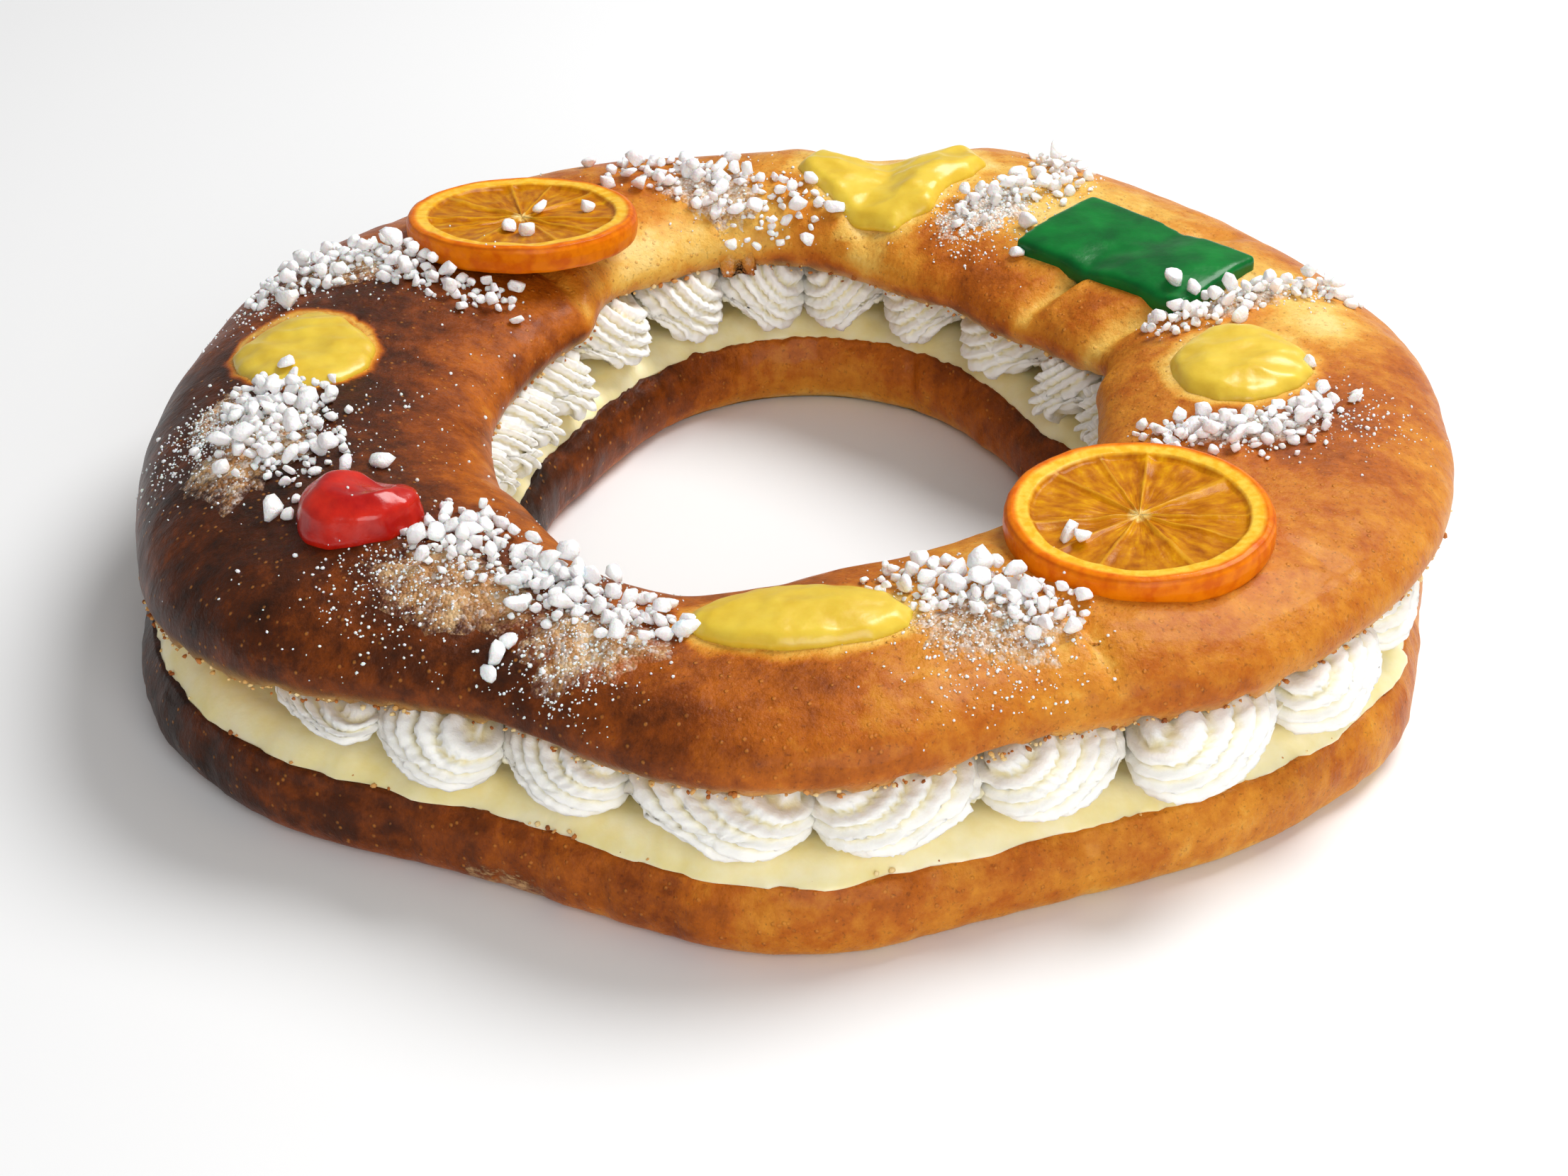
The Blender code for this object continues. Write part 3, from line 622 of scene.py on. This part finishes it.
for node, reach in HALOS.items():
    patch_tree = tree_of(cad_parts[node])
    found = [patch_tree.find_nearest(place, 0.012)[3] for place in places.tolist()]
    near = np.array([1.0 if far is None else far for far in found])
    halo = np.maximum(halo, 1.0 - near / (reach * (1.0 + 0.7 * bumps(places, 0.008, 21))))
halo = held(halo) * (share > 0.02)
bake = blend(bake, HALO_BAKE, 0.85 * halo ** 0.7)
paint(lid, "bake", bake)
paint(lid, "scuff", np.zeros_like(bake))
crumbly = held(rim + 0.5 * rim * bumps(places, 0.0025, 22))
paint(lid, "cut", np.where(under, 1.0, 0.75 * crumbly))
dress(lid, baked_crust("upper_crust"), "crust", "bun_top")
lid_tree = tree_of(lid)

# ---- Candied orange slices ---------------------------------------------------
# Two thick slices of orange boiled in syrup. The rind stands a little proud of the pith, the flesh has sunk
# between its membranes, and everything is sticky and glossy.

ORANGE_RADIUS = 0.0327
ORANGE_THICKNESS = 0.0085
ORANGE_PROFILE = np.array((  # place from bottom to top, share of the radius, height
    (0.0, 0.0, 0.0), (0.14, 0.93, 0.0), (0.17, 0.975, 0.0006), (0.2, 0.99, 0.0016), (0.3, 1.0, 0.00425),
    (0.36, 0.995, 0.0067), (0.4, 0.975, 0.008), (0.44, 0.94, 0.0085), (0.5, 0.88, 0.0082),
    (1.0, 0.0, 0.0075),
))
ORANGE_TOP = 0.44
ORANGE_FLESH = 0.0268
ORANGE_SEGMENTS = 10


def orange_piece(name, node, tilt_x, tilt_y, seed):
    low, high = (Vector(corner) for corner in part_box(node))
    centre = 0.5 * (low + high)
    piece, way, up = ball_of(name, 168, 110)
    spread = np.interp(up, ORANGE_PROFILE[:, 0], ORANGE_PROFILE[:, 1] * ORANGE_RADIUS)
    height = np.interp(up, ORANGE_PROFILE[:, 0], ORANGE_PROFILE[:, 2])
    x, y = spread * np.cos(way), spread * np.sin(way)
    on_top = up > ORANGE_TOP
    sector = (way / (2 * np.pi) * ORANGE_SEGMENTS + 0.25 * np.sin(3 * way + seed)) % 1.0
    from_membrane = np.minimum(sector, 1.0 - sector) * 2.0
    fleshy = held((ORANGE_FLESH - spread) / 0.0012) * on_top
    height = height - fleshy * (0.0004 + 0.0009 * held(from_membrane / 0.25))
    height += np.where(on_top, 0.0004, 0.0002) * bumps(np.column_stack((x, y, height)), 0.006, 160 + seed)
    rays = np.column_stack((spread / 2.4, way * 0.006, height))
    height += fleshy * 0.00045 * bumps(rays, 0.0022, 170 + seed)
    edge = 1.0 + 0.012 * bumps(np.column_stack((np.cos(way), np.sin(way), 0 * way)), 0.5, 180 + seed)
    edge += 0.004 * bumps(np.column_stack((x, y, height)), 0.003, 185)
    underside = centre.z - 0.5 * ORANGE_THICKNESS
    set_corners(piece, np.column_stack((centre.x + x * edge, centre.y + y * edge,
                                        underside + height + tilt_x * x + tilt_y * y)))
    slice_place = np.column_stack((x / ORANGE_RADIUS, y / ORANGE_RADIUS, height / ORANGE_THICKNESS))
    stored_place = piece.data.attributes.new("slice", "FLOAT_VECTOR", "POINT")
    stored_place.data.foreach_set("vector", slice_place.ravel())
    return piece


def orange_look(name, seed):
    look, shader, place = new_look(name, Roughness=0.36, Coat_Weight=0.06, Coat_Roughness=0.08,
                                   Specular_IOR_Level=0.1, Subsurface_Weight=0.1, Subsurface_Scale=0.004,
                                   Subsurface_Radius=(1.0, 0.45, 0.1))
    slice_place = node_of(look, "Attribute", {"attribute_name": "slice"}).outputs["Vector"]
    x, y, z = node_of(look, "SeparateXYZ", None, Vector=slice_place).outputs
    flat = node_of(look, "CombineXYZ", None, X=x, Y=y).outputs[0]
    spread = node_of(look, "VectorMath", {"operation": "LENGTH"}, _0=flat).outputs["Value"]
    way = maths(look, "ARCTAN2", y, x)
    bent = times(look, 0.25, maths(look, "SINE", plus(look, times(look, way, 3.0), float(seed))))
    turns = plus(look, times(look, way, ORANGE_SEGMENTS / (2 * pi)), bent)
    from_membrane = times(look, maths(look, "PINGPONG", turns, 0.5), spread)
    membrane = level(look, from_membrane, 0.03, 0.012)
    radial = node_of(look, "CombineXYZ", None, X=times(look, spread, 3.0), Y=times(look, way, 4.5),
                     Z=float(seed)).outputs[0]
    juice = plus(look, times(look, grain(look, radial, 2.0, 3.0, 0.5), 0.6),
                 times(look, grain(look, place, 190.0, 4.0, 0.6), 0.4))
    flesh = ramp(look, juice, (
        (0.3, 146, 72, 1), (0.46, 184, 108, 1), (0.58, 206, 134, 1), (0.74, 234, 176, 8)))
    flesh = mixed(look, times(look, membrane, 0.35), flesh, colour(236, 180, 40))
    flesh = mixed(look, level(look, spread, 0.1, 0.05), flesh, colour(240, 208, 130))
    pith = mixed(look, level(look, grain(look, place, 400.0), 0.4, 0.6), colour(248, 200, 70),
                 colour(240, 178, 36))
    inside = mixed(look, level(look, spread, 0.8, 0.825), flesh, pith)
    rind = mixed(look, level(look, grain(look, place, 260.0), 0.4, 0.65), colour(236, 128, 4),
                 colour(216, 100, 2))
    whole = mixed(look, level(look, spread, 0.895, 0.93), inside, rind)
    crown = times(look, level(look, z, 0.86, 0.97), level(look, spread, 0.955, 0.985))
    whole = mixed(look, times(look, crown, 0.75), whole, colour(150, 44, 6))
    join(look, whole, shader, "Base Color")
    relief = bumped(look, 0.4, 0.0008, juice)
    join(look, bumped(look, 0.35, 0.0004, grain(look, place, 700.0, 3.0), relief), shader, "Normal")
    return look


orange_front = orange_piece("orange_front", "orange_slice_front", 0.02, 0.02, 1)
dress(orange_front, orange_look("candied_orange_front", 1), "candied_orange", "orange_slice_front")
orange_back = orange_piece("orange_back", "orange_slice_back", 0.0, -0.12, 2)
dress(orange_back, orange_look("candied_orange_back", 2), "candied_orange", "orange_slice_back")

# ---- Green and red candied fruit ---------------------------------------------
# A slab of green candied melon that sags over the crust, and one glossy red cherry, squashed and dented.


def rounded_copy(node_name, name, grid, rounds):
    """A finer copy of a CAD topping: merged, remeshed evenly and rubbed round."""
    bpy.ops.object.select_all(action="DESELECT")
    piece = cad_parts[node_name].copy()
    piece.data = piece.data.copy()
    piece.name = name
    bpy.context.scene.collection.objects.link(piece)
    piece.hide_render = False
    piece.select_set(True)
    bpy.context.view_layer.objects.active = piece
    bpy.ops.object.mode_set(mode="EDIT")
    bpy.ops.mesh.select_all(action="SELECT")
    bpy.ops.mesh.remove_doubles(threshold=0.00001)
    bpy.ops.object.mode_set(mode="OBJECT")
    remesh = piece.modifiers.new("even", "REMESH")
    remesh.mode = "VOXEL"
    remesh.voxel_size = grid
    remesh.use_smooth_shade = True
    bpy.ops.object.modifier_apply(modifier="even")
    smooth = piece.modifiers.new("rub", "SMOOTH")
    smooth.factor = 0.5
    smooth.iterations = rounds
    bpy.ops.object.modifier_apply(modifier="rub")
    return piece


def jelly(name, dark, light, streak_scale, distance, relief_scale, **settings):
    """Glossy fruit boiled in syrup, streaked from a dark shade to a light one."""
    look, shader, place = new_look(name, **settings)
    streaks = level(look, grain(look, place, streak_scale, 4.0), 0.35, 0.7)
    join(look, mixed(look, streaks, dark, light), shader, "Base Color")
    join(look, bumped(look, 0.4, distance, grain(look, place, relief_scale, 4.0)), shader, "Normal")
    return look


green = rounded_copy("candied_green", "green_melon", 0.0007, 16)
push_out(green, 0.0005 + 0.0003 * bumps(corners_of(green), 0.02, 201))
look = jelly("green_jelly", colour(0, 88, 34), colour(4, 124, 46), 90.0, 0.0006, 240.0, Roughness=0.28,
             Coat_Weight=0.08, Coat_Roughness=0.08, Specular_IOR_Level=0.2, Subsurface_Weight=0.15,
             Subsurface_Scale=0.005, Subsurface_Radius=(0.15, 1.0, 0.3))
dress(green, look, "candied_green", "candied_green")

red = rounded_copy("candied_red", "red_cherry", 0.0006, 10)
places = corners_of(red)
dent = np.exp(-(((places[:, 0] + 0.1005) / 0.005) ** 2 + ((places[:, 1] + 0.068) / 0.0085) ** 2))
wrinkles = 0.0011 * bumps(places, 0.011, 203) + 0.0004 * bumps(places, 0.005, 204)
push_out(red, 0.0005 - 0.0034 * dent + wrinkles)
look = jelly("red_glaze", colour(172, 10, 4), colour(222, 40, 14), 130.0, 0.0005, 420.0, Roughness=0.24,
             Coat_Weight=0.15, Coat_Roughness=0.06, Specular_IOR_Level=0.4, Subsurface_Weight=0.12,
             Subsurface_Scale=0.003, Subsurface_Radius=(1.0, 0.1, 0.05))
dress(red, look, "candied_red", "candied_red")

# ---- Custard patches ---------------------------------------------------------
# Spoonfuls of thick custard, spread on the dough before baking, so they have a smooth skin and soft folds.

baked_custard = pastry_custard("baked_custard", colour(234, 202, 66), colour(222, 184, 44))
PATCHES = (  # side, seed, how pointed and how far leaning at the back
    ("left", 211, 0.5, 0.001), ("front", 212, 0.0, 0.0), ("right", 213, 0.22, -0.001),
    ("back", 214, 0.0, 0.0),
)
for side, seed, point, lean in PATCHES:
    patch = rounded_copy(f"custard_patch_{side}", f"custard_spoonful_{side}", 0.0007, 8)
    places = corners_of(patch)
    low, high = places.min(axis=0), places.max(axis=0)
    up = (2.0 * places[:, 1] - low[1] - high[1]) / (high[1] - low[1])
    middle = 0.5 * (low[0] + high[0])
    narrow = 1.0 - point * held(up) ** 1.3
    places[:, 0] = middle + (places[:, 0] - middle) * narrow + lean * held(up)
    set_corners(patch, places)
    swept = bumps(places + 0.004 * bumps(places, 0.02, seed + 30)[:, None], (0.013, 0.006, 0.01), seed)
    creases = 1.0 - 2.2 * np.abs(bumps(places, (0.016, 0.009, 0.012), seed + 20))
    folds = 0.0006 * swept + 0.0005 * creases + 0.0002 * bumps(places, 0.0035, seed + 10)
    push_out(patch, 0.0004 + held((places[:, 2] - low[2]) / 0.004) * folds)
    dress(patch, baked_custard, "custard_patch", f"custard_patch_{side}")

# ---- Moist sugar, pearl sugar and fine sugar ---------------------------------
# Sugar strewn on the egg wash before baking. Where it drew water it clotted into low beige mounds; on them
# lie heaps of hard white nibs, 2 to 7 mm, and fine grains are scattered between and around.

SUGAR_MOUNDS = (  # middle from the ring's centre, half length and width, turn in degrees, height, whiteness
    (-0.14, -0.045, 0.026, 0.017, 72.0, 0.0024, 0.35),
    (-0.15, -0.024, 0.015, 0.011, 80.0, 0.0015, 0.5),
    (-0.083, -0.108, 0.024, 0.016, -25.0, 0.0028, 0.15),
    (-0.052, -0.131, 0.019, 0.014, -20.0, 0.0024, 0.35),
    (0.041, -0.13, 0.022, 0.014, -6.0, 0.002, 0.45), (-0.122, 0.06, 0.03, 0.011, 22.0, 0.002, 0.4),
    (0.054, 0.093, 0.02, 0.012, 38.0, 0.0012, 0.95), (0.12, 0.036, 0.02, 0.009, 28.0, 0.0014, 0.6),
    (0.113, -0.038, 0.022, 0.009, 14.0, 0.0016, 0.9), (-0.028, 0.114, 0.022, 0.015, -22.0, 0.0012, 0.6),
)
SUGAR_HEAPS = (  # the heap's line from the ring's centre, its half width, how many nibs and fine grains
    (((-0.146, 0.049), (-0.133, 0.056), (-0.118, 0.062), (-0.102, 0.05), (-0.083, 0.047)),
     0.0095, 190, 330),
    (((-0.137, -0.019), (-0.135, -0.034), (-0.131, -0.051)), 0.013, 150, 420),
    (((-0.089, -0.084), (-0.077, -0.098), (-0.063, -0.103)), 0.01, 100, 330),
    (((-0.065, -0.106), (-0.05, -0.117), (-0.037, -0.127)), 0.009, 90, 330),
    (((0.023, -0.113), (0.038, -0.117), (0.056, -0.125)), 0.009, 115, 330),
    (((-0.052, 0.122), (-0.03, 0.117), (-0.012, 0.108), (-0.004, 0.099)), 0.0115, 100, 200),
    (((0.046, 0.092), (0.057, 0.099), (0.065, 0.106), (0.077, 0.106)), 0.0065, 62, 260),
    (((0.074, 0.132), (0.08, 0.118)), 0.0055, 26, 80),
    (((0.096, 0.022), (0.111, 0.029), (0.129, 0.042), (0.145, 0.044)), 0.006, 90, 200),
    (((0.089, -0.04), (0.104, -0.041), (0.118, -0.044), (0.132, -0.027)), 0.007, 120, 240),
)
SUGAR_POWDER = (  # middle from the ring's centre, spread, fine grains
    (-0.152, -0.032, 0.009, 760), (-0.098, -0.107, 0.01, 420), (-0.056, -0.138, 0.008, 420),
    (0.041, -0.139, 0.011, 420), (0.05, 0.089, 0.009, 520), (0.14, -0.031, 0.009, 200),
    (-0.15, 0.04, 0.009, 160), (-0.1, -0.03, 0.022, 110), (-0.11, -0.115, 0.02, 90),
)
SINGLE_NIBS = (  # place from the ring's centre, size
    (-0.142, 0.036, 0.0066), (-0.1515, 0.0414, 0.003), (-0.094, 0.035, 0.005), (-0.131, -0.076, 0.0075),
    (-0.127, -0.078, 0.005), (-0.126, -0.0706, 0.0034), (-0.0727, -0.1315, 0.0062),
    (-0.07, -0.1285, 0.0056), (-0.0745, -0.1345, 0.005), (-0.067, -0.116, 0.0052),
    (-0.029, -0.13, 0.0066), (-0.0275, -0.1265, 0.0055), (0.0022, 0.113, 0.005),
    (0.0095, 0.1, 0.006), (0.064, 0.083, 0.0062), (0.06, 0.069, 0.005), (0.132, -0.006, 0.0052),
    (0.142, -0.021, 0.0042), (0.101, 0.04, 0.0062), (0.106, 0.036, 0.006), (0.061, -0.099, 0.0056),
    (0.064, -0.101, 0.0048), (-0.075, 0.082, 0.005), (-0.062, 0.083, 0.0045), (-0.083, 0.066, 0.0062),
    (-0.078, 0.063, 0.0055), (-0.107, -0.053, 0.0058), (0.045, 0.117, 0.0044),
)
NIB_SPARE = 1.3  # nibs tried for each one that has to find room
NIB_TRIES = 8
NIB_SUNK = 0.3  # how high a nib's middle is above what it lies on, as a share of its size
MOULDS = 14
rng = np.random.default_rng(7)


def surface_at(x, y, trees):
    """The highest crust, fruit or sugar straight under a point over the cake."""
    above, down = Vector((x, y, 0.12)), Vector((0.0, 0.0, -1.0))
    found = [tree.ray_cast(above, down)[0] for tree in trees]
    return max((place.z for place in found if place is not None and place.z > 0.035), default=None)


def sugar_mound(x, y, length, width, turn, rise, seed):
    """A low clotted mound that follows the crust under it and sinks into it at its edge."""
    mound, way, up = ball_of("sugar_mound", 72, 34)
    above = corners_of(mound)[:, 2] > 0.0
    spread = 1.0 - np.abs(2.0 * up - 1.0)
    rough = np.column_stack((np.cos(way), np.sin(way), 0.0 * way))
    reach = spread * (1.0 + 0.34 * bumps(rough, 0.7, seed) + 0.3 * bumps(rough, 0.2, seed + 1))
    along, side = length * reach * np.cos(way), width * reach * np.sin(way)
    turn = radians(turn)
    places = np.column_stack((RING_CENTRE.x + x + along * cos(turn) - side * sin(turn),
                              RING_CENTRE.y + y + along * sin(turn) + side * cos(turn), 0.0 * way))
    crust = np.array([surface_at(*place[:2], (lid_tree,)) or 0.045 for place in places.tolist()])
    clots = 0.0011 * bumps(places, 0.0046, seed + 2) + 0.0009 * bumps(places, 0.0022, seed + 3)
    top = rise * held(1.0 - spread ** 2) - 0.0004 + clots * held(1.6 - 1.6 * spread)
    places[:, 2] = crust + np.where(above, top, -0.0012)
    set_corners(mound, places)
    paint(mound, "edge", spread)
    under = [lid_tree.find_nearest(place)[2] for place in places.tolist()]
    paint(mound, "bake", np.array([lid_face_bake[face] for face in under]))
    return mound


lid_face_bake = np.array([bake[list(face.vertices)].mean() for face in lid.data.polygons])
mounds = []
for number, (*shape, white) in enumerate(SUGAR_MOUNDS):
    mound = sugar_mound(*shape, 230 + 5 * number)
    paint(mound, "white", np.full(len(mound.data.vertices), white))
    mounds.append(mound)
bpy.ops.object.select_all(action="DESELECT")
for mound in mounds:
    mound.select_set(True)
bpy.context.view_layer.objects.active = mounds[0]
bpy.ops.object.join()
moist = bpy.context.object
moist.name = "moist_sugar"
look, shader, place = new_look("moist_sugar", Roughness=0.55, Subsurface_Weight=0.15,
                               Subsurface_Scale=0.0015)
clots = node_of(look, "TexVoronoi", {"feature": "F1"}, Vector=place, Scale=1150.0)
caramel = ramp(look, grain(look, place, 170.0, 5.0, 0.6), (
    (0.32, 134, 78, 30), (0.5, 186, 134, 78), (0.68, 222, 186, 136)))
share = plus(look, stored(look, "white"), times(look, grain(look, place, 300.0, 3.0), 0.5))
white_grain = level(look, clots.outputs["Color"], maths(look, "SUBTRACT", 1.05, share), 1.15)
sugary = mixed(look, white_grain, caramel, colour(250, 247, 242))
edge = plus(look, stored(look, "edge"), swing(look, 1.6, grain(look, place, 420.0, 4.0, 0.7)))
crust = crust_shade(look, stored(look, "bake"))
join(look, mixed(look, level(look, edge, 0.55, 0.95), sugary, crust), shader, "Base Color")
relief = node_of(look, "Bump", {"invert": True}, Strength=0.9, Distance=0.0006,
                 Height=clots.outputs["Distance"]).outputs[0]
join(look, bumped(look, 0.6, 0.0008, grain(look, place, 420.0, 4.0), relief), shader, "Normal")
dress(moist, look, "crust")
fruit = [tree_of(piece) for piece in (orange_front, orange_back, green, red)]
resting = [lid_tree, tree_of(moist)] + fruit


def scattered(name, subdivisions, sizes, places, squash, roughness, chipped):
    """Copies of a few rough lumps, each turned, scaled and set down, joined as one piece."""
    moulds = []
    for mould in range(MOULDS):
        bpy.ops.object.select_all(action="DESELECT")
        bpy.ops.mesh.primitive_ico_sphere_add(subdivisions=subdivisions, radius=0.5)
        lump = bpy.context.object
        corners = corners_of(lump)
        rough = 1.0 + roughness * bumps(corners, 0.5, 300 + mould)
        rough += 0.6 * roughness * bumps(corners, 0.26, 320 + mould)
        corners = corners * rough[:, None]
        for chip in range(chipped):
            side = rng.normal(size=3)
            side /= np.linalg.norm(side)
            corners -= np.clip(corners @ side - rng.uniform(0.24, 0.36), 0.0, None)[:, None] * side
        moulds.append((corners, np.array([tuple(face.vertices) for face in lump.data.polygons])))
        bpy.data.objects.remove(lump)
    corners, faces, start = [], [], 0
    for size, place in zip(sizes, places):
        shape, sides = moulds[rng.integers(len(moulds))]
        turn = np.array(Matrix.Rotation(rng.uniform(0, 2 * pi), 3, Vector(rng.normal(size=3)).normalized()))
        placed = (shape * rng.uniform(0.7, 1.35, 3)) @ turn.T * size
        placed[:, 2] *= squash
        corners.append(placed + place)
        faces.append(sides + start)
        start += len(shape)
    data = bpy.data.meshes.new(name)
    data.from_pydata(np.concatenate(corners).tolist(), [], np.concatenate(faces).tolist())
    piece = bpy.data.objects.new(name, data)
    bpy.context.scene.collection.objects.link(piece)
    paint(piece, "tone", np.repeat(rng.random(len(sizes)), len(shape)))
    bpy.context.view_layer.objects.active = piece
    piece.select_set(True)
    bpy.ops.object.shade_smooth()
    return piece


def along_line(line, half_width, tight):
    """A random point near a heap's line, thickest in the middle."""
    line = np.array(line)
    step = rng.uniform(0.0, len(line) - 1)
    first = min(int(step), len(line) - 2)
    side = rng.normal(0.0, tight * half_width, 2)
    return blend(line[first], line[first + 1], step - first) + side + RING_CENTRE[:2]


def heaped(heaps):
    """Nibs in the heaps: each lies on the crust, or on the nibs that it would overlap, two or three deep."""
    laid = []
    for line, half_width, count, fine in heaps:
        near = []
        for nib in range(int(NIB_SPARE * count)):
            size = 0.0015 + 0.0056 * rng.beta(1.3, 2.9)
            for attempt in range(NIB_TRIES):
                x, y = along_line(line, half_width, 0.5)
                ground = surface_at(x, y, resting)
                if ground is None or surface_at(x, y, fruit) is not None:
                    continue
                height = ground + NIB_SUNK * size
                for other_x, other_y, other_height, other in near:
                    apart = np.hypot(x - other_x, y - other_y) / (0.46 * (size + other))
                    if apart < 0.92:
                        over = 0.42 * (size + other) * np.sqrt(1.0 - apart * apart)
                        height = max(height, other_height + over)
                if height - ground < 0.8 * size + 0.0011 * (attempt // 3):
                    near.append((x, y, height, size))
                    break
        laid += near
    return laid


laid = heaped(SUGAR_HEAPS)
for x, y, size in SINGLE_NIBS:
    x, y = x + RING_CENTRE.x, y + RING_CENTRE.y
    laid.append((x, y, surface_at(x, y, resting) + NIB_SUNK * size, size))
laid = np.array(laid)
sugar, shader, place = new_look("pearl_sugar", Roughness=0.6, Specular_IOR_Level=0.3,
                                Subsurface_Weight=0.35, Subsurface_Scale=0.0015)
cloudy = level(sugar, grain(sugar, place, 260.0, 3.0), 0.35, 0.65)
join(sugar, mixed(sugar, cloudy, colour(250, 250, 249), colour(255, 255, 255)), shader, "Base Color")
join(sugar, bumped(sugar, 0.7, 0.0005, grain(sugar, place, 1300.0, 4.0)), shader, "Normal")
nibs = scattered("pearl_sugar_nibs", 2, laid[:, 3], laid[:, :3], 0.85, 0.3, 7)
dress(nibs, sugar, "crust")

spots = []
for line, half_width, count, fine in SUGAR_HEAPS:
    spots += [along_line(line, half_width, 0.95) for grain_number in range(fine)]
for x, y, spread, fine in SUGAR_POWDER:
    spots += [rng.normal(0.0, spread, 2) + (x + RING_CENTRE.x, y + RING_CENTRE.y)
              for grain_number in range(fine)]
sizes, places = [], []
for x, y in spots:
    ground = surface_at(x, y, resting)
    if ground is not None and (rng.random() < 0.12 or surface_at(x, y, fruit) is None):
        sizes.append(0.0003 + 0.0011 * rng.beta(1.0, 3.4))
        places.append((x, y, ground + 0.22 * sizes[-1]))
grains = scattered("fine_sugar_grains", 1, sizes, np.array(places), 0.9, 0.3, 0)
dress(grains, sugar, "crust")

# ---- Crumbs ------------------------------------------------------------------
# Crumbs torn off when the ring was cut: they hang along the lid's ragged edge and lie on the custard beside
# the lower rim.

CRUMBS = 1100
OUTER_EDGE = 0.65  # the share on the lid's outer edge, then with the inner edge; the rest lie on the custard
INNER_EDGE = 0.88
crumb_rows = []
for number in range(CRUMBS):
    theta = rng.uniform(0.0, 360.0)
    at = np.array([theta])
    size = 0.0006 + 0.0017 * rng.beta(1.2, 3.0)
    kind = rng.random()
    if kind < INNER_EDGE:
        rim, out = (LID_OUTER, 1.0) if kind < OUTER_EDGE else (LID_INNER, -1.0)
        reach = swollen(at, *rim)[0] + out * rng.uniform(-0.0004, 0.0012)
        height = lid_underside(at, np.array([reach]))[0] + rng.normal(0.0002, 0.0006)
    else:
        reach = swollen(at, *BASE_OUTER)[0] - rng.uniform(-0.0006, 0.0022)
        height = BASE_HEIGHT + 0.0006 + 0.3 * size
    crumb_rows.append((size, reach, radians(theta), height))
sizes, *rows = np.array(crumb_rows).T
crumbs = scattered("torn_crumbs", 1, sizes, on_ring(*rows), 0.9, 0.4, 3)
look, shader, place = new_look("torn_crumb", Roughness=0.8)
shade = ramp(look, stored(look, "tone"), (
    (0.0, 146, 76, 22), (0.35, 200, 122, 50), (0.7, 232, 190, 116), (1.0, 244, 222, 168)))
join(look, shade, shader, "Base Color")
join(look, bumped(look, 0.6, 0.0004, grain(look, place, 1500.0, 3.0)), shader, "Normal")
dress(crumbs, look, "crust")

# ---- Floor, light and camera -------------------------------------------------
# A plain pale floor, a big soft light above at the right and behind, a weaker one in front, and a pale
# sky all round.

bpy.ops.object.select_all(action="DESELECT")
bpy.ops.mesh.primitive_plane_add(size=6.0, location=(0.0, 0.0, -0.0005))
floor = bpy.context.object
floor.name = "floor"
floor.data.materials.append(new_look("pale_floor", Roughness=0.6, Base_Color=(0.93, 0.93, 0.93, 1.0))[0])


def soft_light(name, place, size, power):
    bpy.ops.object.light_add(type="AREA", location=place)
    light = bpy.context.object
    light.name = name
    light.data.shape = "DISK"
    light.data.size = size
    light.data.energy = power
    light.rotation_euler = (Vector((0.0, 0.0, 0.03)) - Vector(place)).to_track_quat("-Z", "Y").to_euler()


soft_light("key_light", (0.62, 0.42, 1.1), 0.8, 16.5)
soft_light("fill_light", (0.3, -1.15, 0.6), 0.9, 7.8)
world = bpy.data.worlds.new("studio")
bpy.context.scene.world = world
world.use_nodes = True
sky = world.node_tree.nodes["Background"]
sky.inputs["Color"].default_value = (1.0, 1.0, 1.0, 1.0)
sky.inputs["Strength"].default_value = 0.3
bpy.context.scene.view_settings.view_transform = "Standard"

CAMERA_PLACE = Vector((-0.0027, -0.7411, 0.4597))
CAMERA_PITCH = 0.557025
CAMERA_ROLL = -0.0060457
LENS = 73.235
ahead = Vector((0.0, cos(CAMERA_PITCH), -sin(CAMERA_PITCH)))
level_up = Vector((0.0, sin(CAMERA_PITCH), cos(CAMERA_PITCH)))
right = cos(CAMERA_ROLL) * Vector((1.0, 0.0, 0.0)) + sin(CAMERA_ROLL) * level_up
upward = cos(CAMERA_ROLL) * level_up - sin(CAMERA_ROLL) * Vector((1.0, 0.0, 0.0))
bpy.ops.object.camera_add()
camera = bpy.context.object
camera.matrix_world = Matrix((right, upward, -ahead)).transposed().to_4x4()
camera.location = CAMERA_PLACE
camera.data.sensor_width = 36.0
camera.data.lens = LENS
camera.data.clip_start = 0.01
bpy.context.scene.camera = camera
